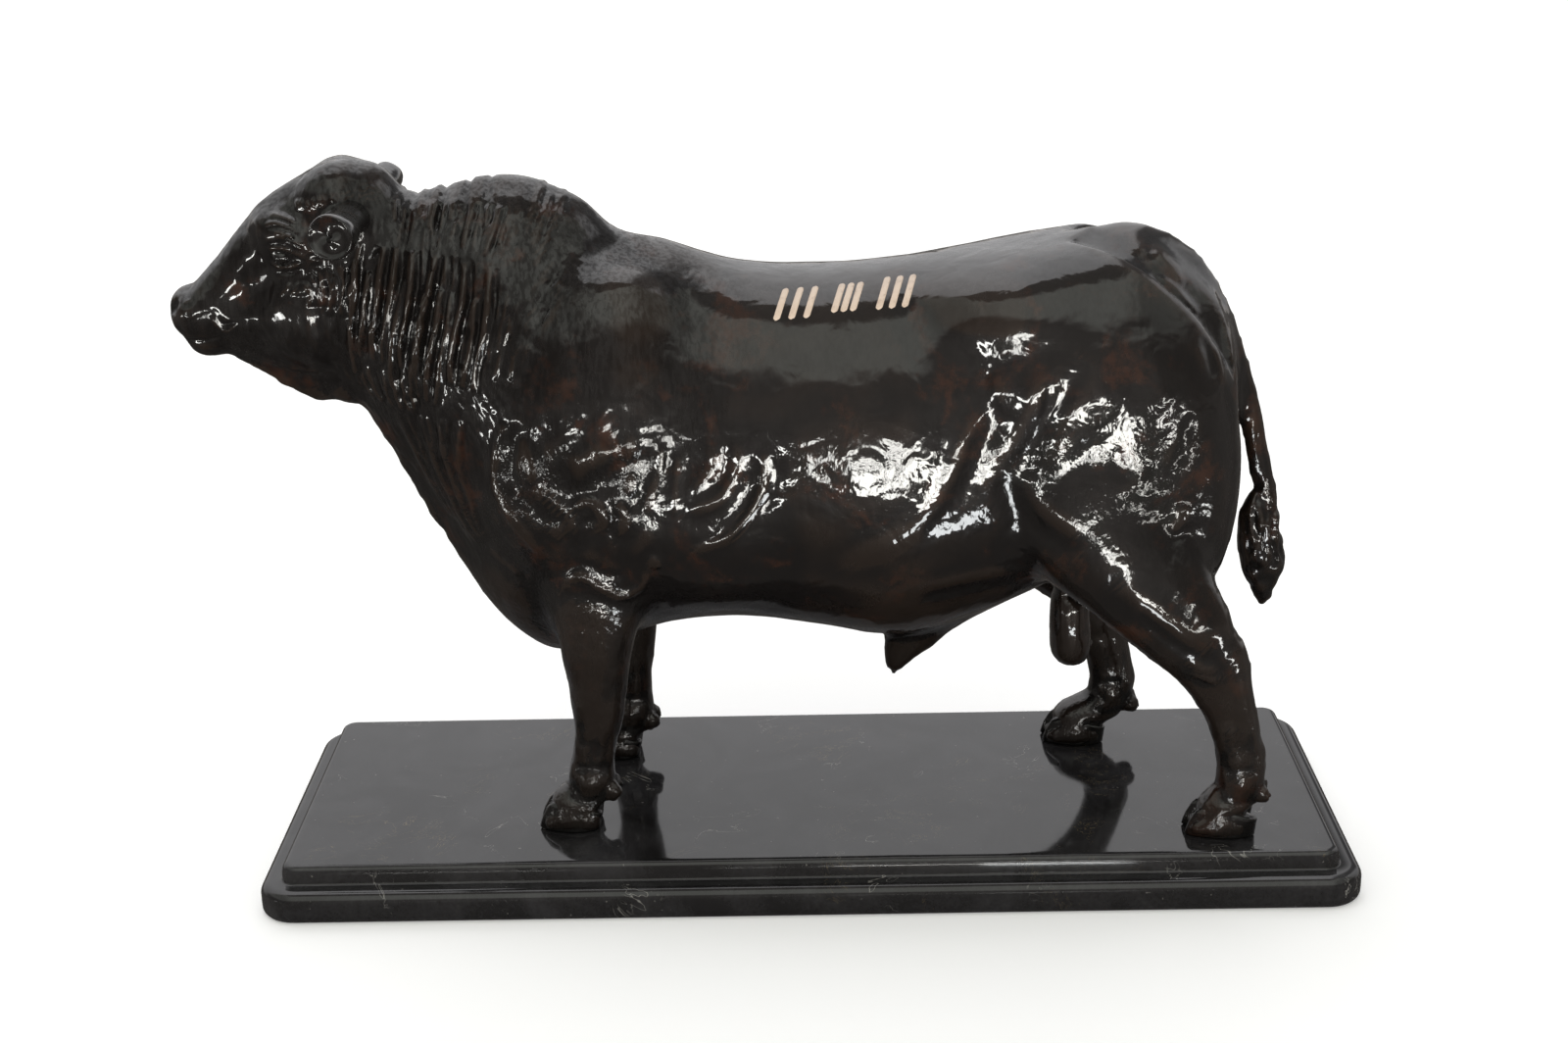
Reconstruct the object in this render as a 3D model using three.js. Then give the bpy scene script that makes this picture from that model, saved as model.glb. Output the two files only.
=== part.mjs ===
// Standing bull in cast bronze on a moulded marble plinth.
// Millimetres, +Z up. The origin is the centre of the plinth's underside, the bull faces -X
// and its left flank is towards -Y.
import * as THREE from "three";
import { edgeTable, triTable } from "three/addons/objects/MarchingCubes.js";

// Plinth
const PLINTH_LENGTH = 600;
const PLINTH_WIDTH = 220;
const PLINTH_HEIGHT = 28;
const PLINTH_CORNER = 21;
const LOWER_TIER = 17.5;
const TIER_STEP = 12;
const CORNER_STEPS = 6;

// Bull, heights above its soles
const SOLE_GAP = 0.3;
const POLL = 369;
const MUZZLE = -330;
const HUMP_HEIGHT = 357;
const LOIN_HEIGHT = 307;
const RUMP_HEIGHT = 324;
const BRISKET_HEIGHT = 88;
const GIRTH_HALF = 68;
const BARREL_HALF = 72;
const HIP_HALF = 62;
const EAR_SPAN = 174;
const HORN_CUT = 15;

// Neck folds fan out round a point behind the hump
const FOLD_CENTRE = [-22, 307];
const FOLD_PITCH = 9.6;
const FOLD_DEPTH = 4.6;

// Skinning
const CELL = 2.1;
const BAND = 6;
const BULL_FACETS = 8960;

const clamp = THREE.MathUtils.clamp;
const lerp = THREE.MathUtils.lerp;
const smooth = (x, a, b) => THREE.MathUtils.smoothstep(x, Math.min(a, b), Math.max(a, b));
const rise = (x, a, b) => smooth(x, a, b);
const fall = (x, a, b) => 1 - smooth(x, a, b);
const norm = (x, y, z = 0) => Math.sqrt(x * x + y * y + z * z);

// A smooth curve of one value through rows sorted by their first column.
function through(rows, column) {
  const n = rows.length;
  const slope = (i) => {
    const a = rows[Math.max(i - 1, 0)];
    const b = rows[Math.min(i + 1, n - 1)];
    return (b[column] - a[column]) / (b[0] - a[0]);
  };
  return (x) => {
    if (x <= rows[0][0]) return rows[0][column];
    if (x >= rows[n - 1][0]) return rows[n - 1][column];
    let i = 0;
    while (rows[i + 1][0] < x) i += 1;
    const width = rows[i + 1][0] - rows[i][0];
    const t = (x - rows[i][0]) / width;
    const t2 = t * t;
    const t3 = t2 * t;
    return (2 * t3 - 3 * t2 + 1) * rows[i][column] + (t3 - 2 * t2 + t) * width * slope(i)
      + (3 * t2 - 2 * t3) * rows[i + 1][column] + (t3 - t2) * width * slope(i + 1);
  };
}

// Each form is a distance function, the sphere that holds it and its blend width. A carving form
// takes material away.
class Clay {
  constructor() {
    this.forms = [];
  }

  put(at, centre, radius, blend, carve = false) {
    this.forms.push({ at, x: centre[0], y: centre[1], z: centre[2], radius, blend, carve });
  }

  // An ellipsoid, turned by lean about Y (its top goes back) and by yaw about Z.
  ball(centre, radii, { blend = 12, lean = 0, yaw = 0, carve = false } = {}) {
    const turn = new THREE.Matrix4().makeRotationFromEuler(
      new THREE.Euler(0, THREE.MathUtils.degToRad(lean), THREE.MathUtils.degToRad(yaw), "ZYX"),
    );
    const m = turn.elements;
    const [a, b, c] = radii;
    const [cx, cy, cz] = centre;
    const least = Math.min(a, b, c);
    const at = (x, y, z) => {
      const dx = x - cx;
      const dy = y - cy;
      const dz = z - cz;
      const u = (m[0] * dx + m[1] * dy + m[2] * dz) / a;
      const v = (m[4] * dx + m[5] * dy + m[6] * dz) / b;
      const w = (m[8] * dx + m[9] * dy + m[10] * dz) / c;
      const k0 = norm(u, v, w);
      if (k0 < 0.05) return -least;
      return k0 * (k0 - 1) / norm(u / a, v / b, w / c);
    };
    this.put(at, centre, Math.max(a, b, c), blend, carve);
  }

  pair(centre, radii, options = {}) {
    this.ball(centre, radii, options);
    const mirrored = { ...options, yaw: -(options.yaw ?? 0) };
    this.ball([centre[0], -centre[1], centre[2]], radii, mirrored);
  }

  // A tapering limb of elliptical section through knots [x, y, z, across, along].
  limb(knots, { blend = 10, across = [0, 1, 0], fine = 4, carve = false } = {}) {
    const path = new THREE.CatmullRomCurve3(
      knots.map((k) => new THREE.Vector3(k[0], k[1], k[2])), false, "centripetal",
    );
    const last = (knots.length - 1) * fine;
    const beads = Array.from({ length: last + 1 }, (_, i) => {
      const t = i / fine;
      const k = Math.min(Math.floor(t), knots.length - 2);
      const f = t - k;
      const ease = f * f * (3 - 2 * f) * 0.5 + f * 0.5;
      return {
        p: path.getPoint(i / last),
        a: lerp(knots[k][3], knots[k + 1][3], ease),
        b: lerp(knots[k][4], knots[k + 1][4], ease),
      };
    });
    const box = new THREE.Box3().setFromPoints(beads.map((bead) => bead.p));
    const middle = box.getCenter(new THREE.Vector3());
    const radius = Math.max(...beads.map((bead) => bead.p.distanceTo(middle)
      + Math.max(bead.a, bead.b)));
    const spans = beads.slice(1).map((bead, i) => {
      const from = beads[i];
      const run = bead.p.clone().sub(from.p);
      const length = run.length();
      run.divideScalar(length);
      const side = new THREE.Vector3(...across).addScaledVector(run, -run.dot(
        new THREE.Vector3(...across),
      )).normalize();
      const fore = new THREE.Vector3().crossVectors(run, side);
      return {
        from: from.p, run, side, fore, length, a0: from.a, a1: bead.a, b0: from.b, b1: bead.b,
      };
    });
    const at = (x, y, z) => {
      let best = 1e9;
      for (const span of spans) {
        const dx = x - span.from.x;
        const dy = y - span.from.y;
        const dz = z - span.from.z;
        const s = dx * span.run.x + dy * span.run.y + dz * span.run.z;
        const t = clamp(s / span.length, 0, 1);
        const a = span.a0 + (span.a1 - span.a0) * t;
        const b = span.b0 + (span.b1 - span.b0) * t;
        const m = Math.min(a, b);
        const over = (s - t * span.length) / m;
        const u = (dx * span.side.x + dy * span.side.y + dz * span.side.z) / a;
        const v = (dx * span.fore.x + dy * span.fore.y + dz * span.fore.z) / b;
        const k0 = Math.sqrt(u * u + v * v + over * over);
        const k1 = norm(u / a, v / b, over / m);
        const d = k0 < 0.05 ? -m : k0 * (k0 - 1) / k1;
        if (d < best) best = d;
      }
      return best;
    };
    this.put(at, middle.toArray(), radius, blend, carve);
  }

  at(x, y, z) {
    let f = 40;
    for (const form of this.forms) {
      const away = norm(x - form.x, y - form.y, z - form.z) - form.radius;
      const k = form.blend;
      if (form.carve) {
        if (away > k + Math.abs(f)) continue;
        const d = -form.at(x, y, z);
        const h = Math.max(k - Math.abs(f - d), 0) / k;
        f = Math.max(f, d) + h * h * k * 0.25;
      } else {
        if (away > Math.max(f, 0) + k) continue;
        const d = form.at(x, y, z);
        const h = Math.max(k - Math.abs(f - d), 0) / k;
        f = Math.min(f, d) - h * h * k * 0.25;
      }
    }
    return f;
  }
}

// A form of upright oval sections. Each rib: x, top, bottom, half width, height of the widest
// place. The ends are closed by caps of the given depths, square(x) gives the section powers.
function loft(clay, ribs, { caps, square, blend }) {
  const [top, bottom, half, widest] = [1, 2, 3, 4].map((column) => through(ribs, column));
  const first = ribs[0][0];
  const last = ribs[ribs.length - 1][0];
  const at = (x, y, z) => {
    const xc = clamp(x, first, last);
    const cap = x < first ? caps[0] : caps[1];
    const over = (x - xc) / cap;
    const a = half(xc);
    const level = widest(xc);
    const up = z > level;
    const b = up ? top(xc) - level : level - bottom(xc);
    const n = square(xc)[up ? 0 : 1];
    const u = Math.abs(y) / a;
    const v = Math.abs(z - level) / b;
    const rho = Math.pow(Math.pow(u, n) + Math.pow(v, n), 1 / n);
    if (rho < 0.2 && over === 0) return -Math.min(a, b) * (1 - rho);
    const gu = Math.pow(u / Math.max(rho, 1e-6), n - 1) / a;
    const gv = Math.pow(v / Math.max(rho, 1e-6), n - 1) / b;
    if (over === 0) return (rho - 1) / norm(gu, gv);
    const k0 = norm(rho, over);
    return (k0 - 1) / norm(rho * gu / k0, rho * gv / k0, over / k0 / cap);
  };
  const tall = Math.max(...ribs.map((rib) => rib[1]));
  const low = Math.min(...ribs.map((rib) => rib[2]));
  const centre = [(first + last) / 2, 0, (tall + low) / 2];
  clay.put(at, centre, norm((last - first) / 2 + 15, (tall - low) / 2, 60), blend);
}

// Neck, chest, barrel and croup are one loft.
function trunk(clay) {
  loft(clay, [
    [-240, 343, 240, 30, 290],
    [-223, 349, 209, 36, 284],
    [-204, 347.5, 180, 42, 270],
    [-184, HUMP_HEIGHT - 7, 145, 48, 255],
    [-165, HUMP_HEIGHT - 3, 116, 55, 238],
    [-142, HUMP_HEIGHT - 5, BRISKET_HEIGHT + 7, 61, 222],
    [-120, HUMP_HEIGHT - 19, BRISKET_HEIGHT + 3, 65, 210],
    [-98, HUMP_HEIGHT - 31, 97, 66, 202],
    [-74, HUMP_HEIGHT - 36.5, 105, GIRTH_HALF - 1, 196],
    [-34, LOIN_HEIGHT, 108, GIRTH_HALF + 1, 192],
    [10, LOIN_HEIGHT - 3, 102, BARREL_HALF, 190],
    [52, LOIN_HEIGHT - 0.5, 95, BARREL_HALF, 191],
    [97, RUMP_HEIGHT - 12, 107, BARREL_HALF - 5, 200],
    [140, RUMP_HEIGHT - 6, 126, HIP_HALF, 212],
    [176, RUMP_HEIGHT - 0.5, 142, HIP_HALF - 5, 226],
    [206, RUMP_HEIGHT - 17.5, 158, 47, 232],
    [226, RUMP_HEIGHT - 46, 176, 32, 236],
  ], {
    caps: [14, 10],
    square: (x) => [2 + 0.5 * rise(x, -90, -20), 2 - 0.25 * fall(x, -200, -110)],
    blend: 1,
  });
}

function muscles(clay) {
  // Hump and crest
  clay.limb([[-184, 0, 327.5, 14, 17], [-160, 0, 330, 19, 20], [-130, 0, 322, 21, 24]], { blend: 18 });
  clay.pair([-112, 43, 232], [37, 23, 80], { lean: 17, blend: 26 });
  clay.pair([-138, 42, 190], [24, 24, 36], { lean: -18, blend: 12 });
  clay.pair([-94, 46, 182], [32, 22, 36], { lean: 24, blend: 16 });
  clay.ball([-149, 0, 140], [29, 39, 41], { lean: -26, blend: 20 });
  // Rump, thigh and stifle
  clay.pair([156, 32, 256], [62, 31, 54], { lean: 12, blend: 24 });
  clay.pair([182, 41, 204], [47, 27, 64], { lean: 6, blend: 22 });
  clay.pair([202, 39, 176], [27, 24, 50], { lean: -6, blend: 22 });
  clay.pair([138, 46, 178], [19, 20, 42], { lean: -10, blend: 16 });
  clay.pair([140, 44, 236], [20, 20, 42], { lean: 18, blend: 18 });
  clay.pair([108, 38, 287], [30, 18, 12], { blend: 26 });
  clay.pair([211, 17, 280], [11, 10, 14], { blend: 12 });
  // Deep chest behind the elbow
  clay.pair([-50, 40, 170], [40, 24, 34], { blend: 24 });
  // Dewlap, a keel down the front of the neck
  clay.limb([
    [-230, 0, 240, 7, 11], [-212, 0, 208, 8, 13], [-198, 0, 182, 9, 15],
    [-179, 0, 150, 13, 15], [-158, 0, 122, 20, 15], [-140, 0, 109, 26, 16],
  ], { blend: 14 });
}

function sheath(clay) {
  clay.limb([
    [106, 0, 130, 12, 13], [84, 0, 112, 12, 13], [64, 0, 95, 10, 14],
    [54.5, 0, 82, 8, 10.5], [49.5, 0, 70, 5.5, 5.5], [49.5, 0, 66, 3.6, 3.6],
  ], { blend: 12 });
  clay.limb([[151, 0, 132, 11, 9], [149, 0, 104, 16, 11], [150, 0, 83, 17, 12]], { blend: 8 });
}

// The head is a second loft from the muzzle to the jowls; its face is cut into it afterwards.
function head(clay) {
  loft(clay, [
    [MUZZLE - 3, 297, 273, 16, 287],
    [MUZZLE + 1, 298.5, 268, 18.5, 286],
    [MUZZLE + 9, 306.5, 263, 20, 287],
    [MUZZLE + 19, 317, 262.5, 19, 288],
    [MUZZLE + 32, 332, 259, 20, 292],
    [MUZZLE + 44, 345, 254, 23, 299],
    [MUZZLE + 56, 353, 249, 26, 308],
    [MUZZLE + 72, 361.5, 241, 28.5, 314],
    [MUZZLE + 88, POLL - 2, 239.5, 30, 318],
    [MUZZLE + 102, POLL - 4, 237.5, 29, 318],
  ], {
    caps: [5, 22],
    square: (x) => [2.35, 1.7 + 0.4 * fall(x, MUZZLE + 15, MUZZLE + 40)],
    blend: 8,
  });
  // Nose pad, chin and upper lip
  clay.ball([MUZZLE + 2.5, 0, 288], [9.5, 18.5, 12], { lean: -24, blend: 5 });
  clay.ball([MUZZLE + 11, 0, 270.5], [12, 14.5, 8], { lean: -6, blend: 4 });
  clay.limb([
    [MUZZLE + 28, 0, 262, 4, 4.5], [MUZZLE + 44, 0, 255, 5.5, 7], [MUZZLE + 58, 0, 249, 7, 9.5],
    [MUZZLE + 72, 0, 246, 9, 11], [MUZZLE + 88, 0, 244.5, 12, 11],
  ], { blend: 5 });
  // Masseter and the sunk cheek before it
  clay.pair([MUZZLE + 66, 15, 285], [21, 16, 27], { lean: -24, blend: 8 });
  clay.pair([MUZZLE + 38, 26, 302], [17, 8, 10], { lean: -52, blend: 10, carve: true });
  // Polled crown, brows, sockets and eyes
  clay.pair([MUZZLE + 85, HORN_CUT, 349], [15, 13, 16], { blend: 10 });
  clay.pair([MUZZLE + 60, 22, 332], [16, 8, 7.5], { lean: 22, yaw: 14, blend: 12 });
  clay.pair([MUZZLE + 58, 31, 322.5], [9.5, 5, 4.6], { lean: 8, blend: 4, carve: true });
  clay.pair([MUZZLE + 59, 25.5, 322.8], [6.4, 4.6, 4.2], { blend: 1.2 });
  // Nostrils and mouth
  clay.pair([MUZZLE - 5, 12.5, 291], [5, 3.8, 3.2], { lean: -40, yaw: 30, blend: 2.5, carve: true });
  for (const side of [-1, 1]) {
    clay.limb([
      [MUZZLE - 8, side * 3, 275, 1.8, 1.8], [MUZZLE - 4, side * 13, 274.5, 1.8, 1.8],
      [MUZZLE + 9, side * 19, 273, 2, 1.7], [MUZZLE + 22, side * 18.5, 269.5, 1.4, 1.2],
    ], { blend: 2.4, carve: true });
  }
}

// Each ear is a scoop, open outwards and a little to the front.
function ears(clay) {
  const middle = EAR_SPAN / 2 - 28;
  for (const side of [-1, 1]) {
    clay.limb([[-242, side * 22, 334, 9, 9], [-238, side * 42, 338, 7.5, 8]], {
      blend: 6, across: [1, 0, 0],
    });
    clay.ball([-234, side * middle, 340], [12.8, 28.5, 12.8], { yaw: side * -4, blend: 3 });
    clay.limb([
      [-234.5, side * (middle - 4), 339.5, 3, 3], [-236, side * (middle + 8), 338, 7, 7],
      [-239, side * (middle + 18), 335.5, 9.5, 9.5], [-244, side * (middle + 32), 331, 12, 12],
    ], { blend: 1.4, across: [1, 0, 0], carve: true });
  }
}

// Cloven hoof: two claws and two dewclaws, its fetlock at (x, y, z) and its toe towards -X.
function hoof(clay, x, y, z, toe) {
  clay.limb([
    [x, y, z, 12, 12.5], [lerp(x, toe + 20, 0.35), y, z - 8, 12, 11.5], [toe + 19, y, 12, 13, 12.5],
  ], { blend: 5 });
  for (const side of [-1, 1]) {
    clay.limb([
      [toe + 8, y + side * 5.8, 3, 6.2, 6.5], [toe + 19, y + side * 7.2, 5.5, 7.4, 10.5],
      [toe + 28, y + side * 7, 5, 7, 9],
    ], { blend: 1.6, across: [0, 1, 0] });
    clay.ball([x + 12, y + side * 6, z - 6], [5, 4.2, 6], { lean: 24, blend: 2.4 });
  }
}

// Foreleg with its knee at x; slant is how far the fetlock stands before the knee.
function foreleg(clay, y, x, slant, toe) {
  clay.limb([
    [x + 5, y * 0.94, 162, 19, 27], [x + 2, y * 0.98, 132, 20, 24.5], [x, y, 108, 18.5, 20.5],
    [x, y, 88, 16, 16.5], [x, y, 72, 14.5, 14.6], [x - slant * 0.5, y, 50, 11.2, 11.6],
    [x - slant, y, 33, 11.5, 12],
  ], { blend: 11 });
  clay.ball([x - 5, y, 77], [10, 13.5, 14], { blend: 5 });
  hoof(clay, x - slant, y, 27, toe);
}

// Hind leg from the stifle to the hock at x and down the cannon.
function hindleg(clay, y, x, toe) {
  clay.limb([
    [lerp(152, x, 0.05), y * 0.72, 188, 25, 38], [lerp(150, x, 0.16), y * 0.82, 164, 23, 34],
    [lerp(150, x, 0.47), y * 0.92, 139, 20, 31], [x - 24, y * 0.98, 119, 17, 26],
    [x - 13, y, 103, 14, 20.5], [x - 4.5, y, 88, 12.5, 17.5], [x + 2.5, y, 70, 11, 14.4],
    [x + 7, y, 53, 10.6, 13], [x + 10, y, 38, 11.8, 13.4],
  ], { blend: 12 });
  clay.ball([x + 3.5, y, 103], [7, 6, 8], { lean: -30, blend: 7 });
  hoof(clay, x + 9, y, 29, toe);
}

function tail(clay) {
  clay.limb([
    [146, 0, 309.5, 11, 9], [174, 0, 316.5, 10, 8.6], [197, 0, 309.5, 9, 9],
    [212.5, 0, 296, 8.4, 8.6], [225, 0, 275, 7.6, 8], [236, 0, 248, 6.8, 7.2],
    [246, 0, 216, 6, 6.4], [252, 0, 188, 5.6, 6.4], [256, 0, 174, 5.2, 5.6],
  ], { blend: 5 });
  clay.limb([
    [255.5, 0, 174, 5.2, 6], [253.5, 0, 160, 8.5, 11], [253.5, 0, 144, 9.5, 12.5],
    [256, 0, 129, 9, 12], [257.5, 0, 115, 6, 7], [257, 0, 107, 3, 3.4],
  ], { blend: 3 });
  clay.limb([[261, 3, 146, 5, 5], [266, 4, 131, 4, 5], [268, 3, 125, 2.4, 2.6]], { blend: 3 });
}

// Loose skin in folds over the neck, cheek and crest.
function folds(x, y, z) {
  if (x > -70 || x < -284) return 0;
  const dx = x - FOLD_CENTRE[0];
  const dz = z - FOLD_CENTRE[1];
  const r = norm(dx, dz);
  const turn = Math.atan2(dz, -dx);
  const wander = 0.3 * Math.sin(turn * 6 + r * 0.05) + 0.1 * Math.sin(turn * 13 + r * 0.11);
  const lobe = Math.abs(Math.sin(Math.PI * (r / FOLD_PITCH + wander)));
  const poll = fall(x, -224, -206) * rise(z, 318, 336);
  const throat = 0.35 + 0.65 * rise(z, 178, 232);
  const neck = rise(r, 138, 164) * fall(r, 236, 262) * rise(z, 132, 190) * rise(x, -256, -240);
  const cheek = rise(x, -270, -254) * fall(x, -240, -228) * rise(z, 262, 290) * fall(z, 320, 334);
  const crest = rise(r, 84, 100) * fall(r, 150, 172) * rise(z, 264, 306) * 0.8;
  const sheet = Math.min(1, Math.max(neck * throat * (1 - poll), crest, cheek * 0.8));
  const swell = 0.75 + 0.25 * Math.sin(turn * 5 + r * 0.09);
  const bare = fall(Math.abs(y), 2, 14) * (z > 300 ? 0.55 : 0.3);
  return (0.6 - lobe) * FOLD_DEPTH * 0.5 * sheet * swell * (1 - bare);
}

function modelBull() {
  const clay = new Clay();
  trunk(clay);
  muscles(clay);
  foreleg(clay, -48, -114, 6, -150);
  foreleg(clay, 46, -103, 1, -134);
  hindleg(clay, -68, 227, 206);
  hindleg(clay, 56, 172, 140);
  sheath(clay);
  tail(clay);
  head(clay);
  ears(clay);
  return (x, y, z) => {
    const f = clay.at(x, y, z);
    if (f > 14 || f < -14) return f;
    return Math.max(f + folds(x, y, z), -z);
  };
}

// Marching cubes over the cells near the surface.
function skin(field, low, high, cell) {
  const count = [0, 1, 2].map((k) => Math.ceil((high[k] - low[k]) / cell / 4) * 4 + 1);
  const [nx, ny, nz] = count;
  const values = new Float32Array(nx * ny * nz).fill(NaN);
  const index = (i, j, k) => i + nx * (j + ny * k);
  const sample = (i, j, k) => {
    const n = index(i, j, k);
    if (Number.isNaN(values[n])) {
      const v = field(low[0] + i * cell, low[1] + j * cell, low[2] + k * cell);
      values[n] = Math.abs(v) < 1e-4 ? 1e-4 : v;
    }
    return values[n];
  };
  const square = [[0, 0], [1, 0], [1, 1], [0, 1]];
  const corner = [0, 1].flatMap((up) => square.map(([i, j]) => [i, j, up]));
  const ends = [
    ...[0, 4].flatMap((up) => [[0, 1], [1, 2], [3, 2], [0, 3]].map(([a, b]) => [a + up, b + up])),
    ...[0, 1, 2, 3].map((a) => [a, a + 4]),
  ];
  const points = [];
  const faces = [];
  const made = new Map();
  const vertex = (i, j, k, edge) => {
    const [p, q] = ends[edge].map((c) => corner[c]);
    const axis = p[0] !== q[0] ? 0 : p[1] !== q[1] ? 1 : 2;
    const key = index(i + p[0], j + p[1], k + p[2]) * 3 + axis;
    if (!made.has(key)) {
      const a = sample(i + p[0], j + p[1], k + p[2]);
      const b = sample(i + q[0], j + q[1], k + q[2]);
      const t = clamp(a / (a - b), 0.02, 0.98);
      const at = [i + p[0], j + p[1], k + p[2]];
      at[axis] += t;
      made.set(key, points.length / 3);
      points.push(low[0] + at[0] * cell, low[1] + at[1] * cell, low[2] + at[2] * cell);
    }
    return made.get(key);
  };
  const reach = cell * 4 * 0.87 * 1.7 + BAND;
  const at8 = new Float64Array(8);
  for (let bk = 0; bk + 4 < nz; bk += 4) {
    for (let bj = 0; bj + 4 < ny; bj += 4) {
      for (let bi = 0; bi + 4 < nx; bi += 4) {
        const middle = [bi, bj, bk].map((start, axis) => low[axis] + (start + 2) * cell);
        if (Math.abs(field(...middle)) > reach) continue;
        for (let k = bk; k < bk + 4; k += 1) {
          for (let j = bj; j < bj + 4; j += 1) {
            for (let i = bi; i < bi + 4; i += 1) {
              let mask = 0;
              for (let c = 0; c < 8; c += 1) {
                at8[c] = sample(i + corner[c][0], j + corner[c][1], k + corner[c][2]);
                if (at8[c] < 0) mask |= 1 << c;
              }
              if (edgeTable[mask] === 0) continue;
              for (let t = mask * 16; triTable[t] >= 0; t += 3) {
                faces.push(vertex(i, j, k, triTable[t]), vertex(i, j, k, triTable[t + 1]),
                  vertex(i, j, k, triTable[t + 2]));
              }
            }
          }
        }
      }
    }
  }
  return { points: Float64Array.from(points), faces: Int32Array.from(faces) };
}

// Evens the facets out and puts every point back on the surface.
function relax({ points, faces }, field, rounds) {
  const n = points.length / 3;
  for (let round = 0; round < rounds; round += 1) {
    const sum = new Float64Array(n * 3);
    const seen = new Float64Array(n);
    for (let f = 0; f < faces.length; f += 3) {
      for (let c = 0; c < 3; c += 1) {
        const v = faces[f + c];
        const w = faces[f + (c + 1) % 3];
        seen[v] += 1;
        for (let k = 0; k < 3; k += 1) sum[v * 3 + k] += points[w * 3 + k];
      }
    }
    for (let v = 0; v < n; v += 1) {
      const p = [0, 1, 2].map((k) => points[v * 3 + k] * 0.5 + sum[v * 3 + k] / seen[v] * 0.5);
      for (let step = 0; step < 2; step += 1) {
        const e = 0.4;
        const f = field(p[0], p[1], p[2]);
        const g = [
          (field(p[0] + e, p[1], p[2]) - field(p[0] - e, p[1], p[2])) / e / 2,
          (field(p[0], p[1] + e, p[2]) - field(p[0], p[1] - e, p[2])) / e / 2,
          (field(p[0], p[1], p[2] + e) - field(p[0], p[1], p[2] - e)) / e / 2,
        ];
        const gg = Math.max(g[0] * g[0] + g[1] * g[1] + g[2] * g[2], 0.25);
        const move = clamp(f / gg, -CELL, CELL);
        for (let k = 0; k < 3; k += 1) p[k] -= g[k] * move;
      }
      for (let k = 0; k < 3; k += 1) points[v * 3 + k] = p[k];
    }
  }
}

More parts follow.
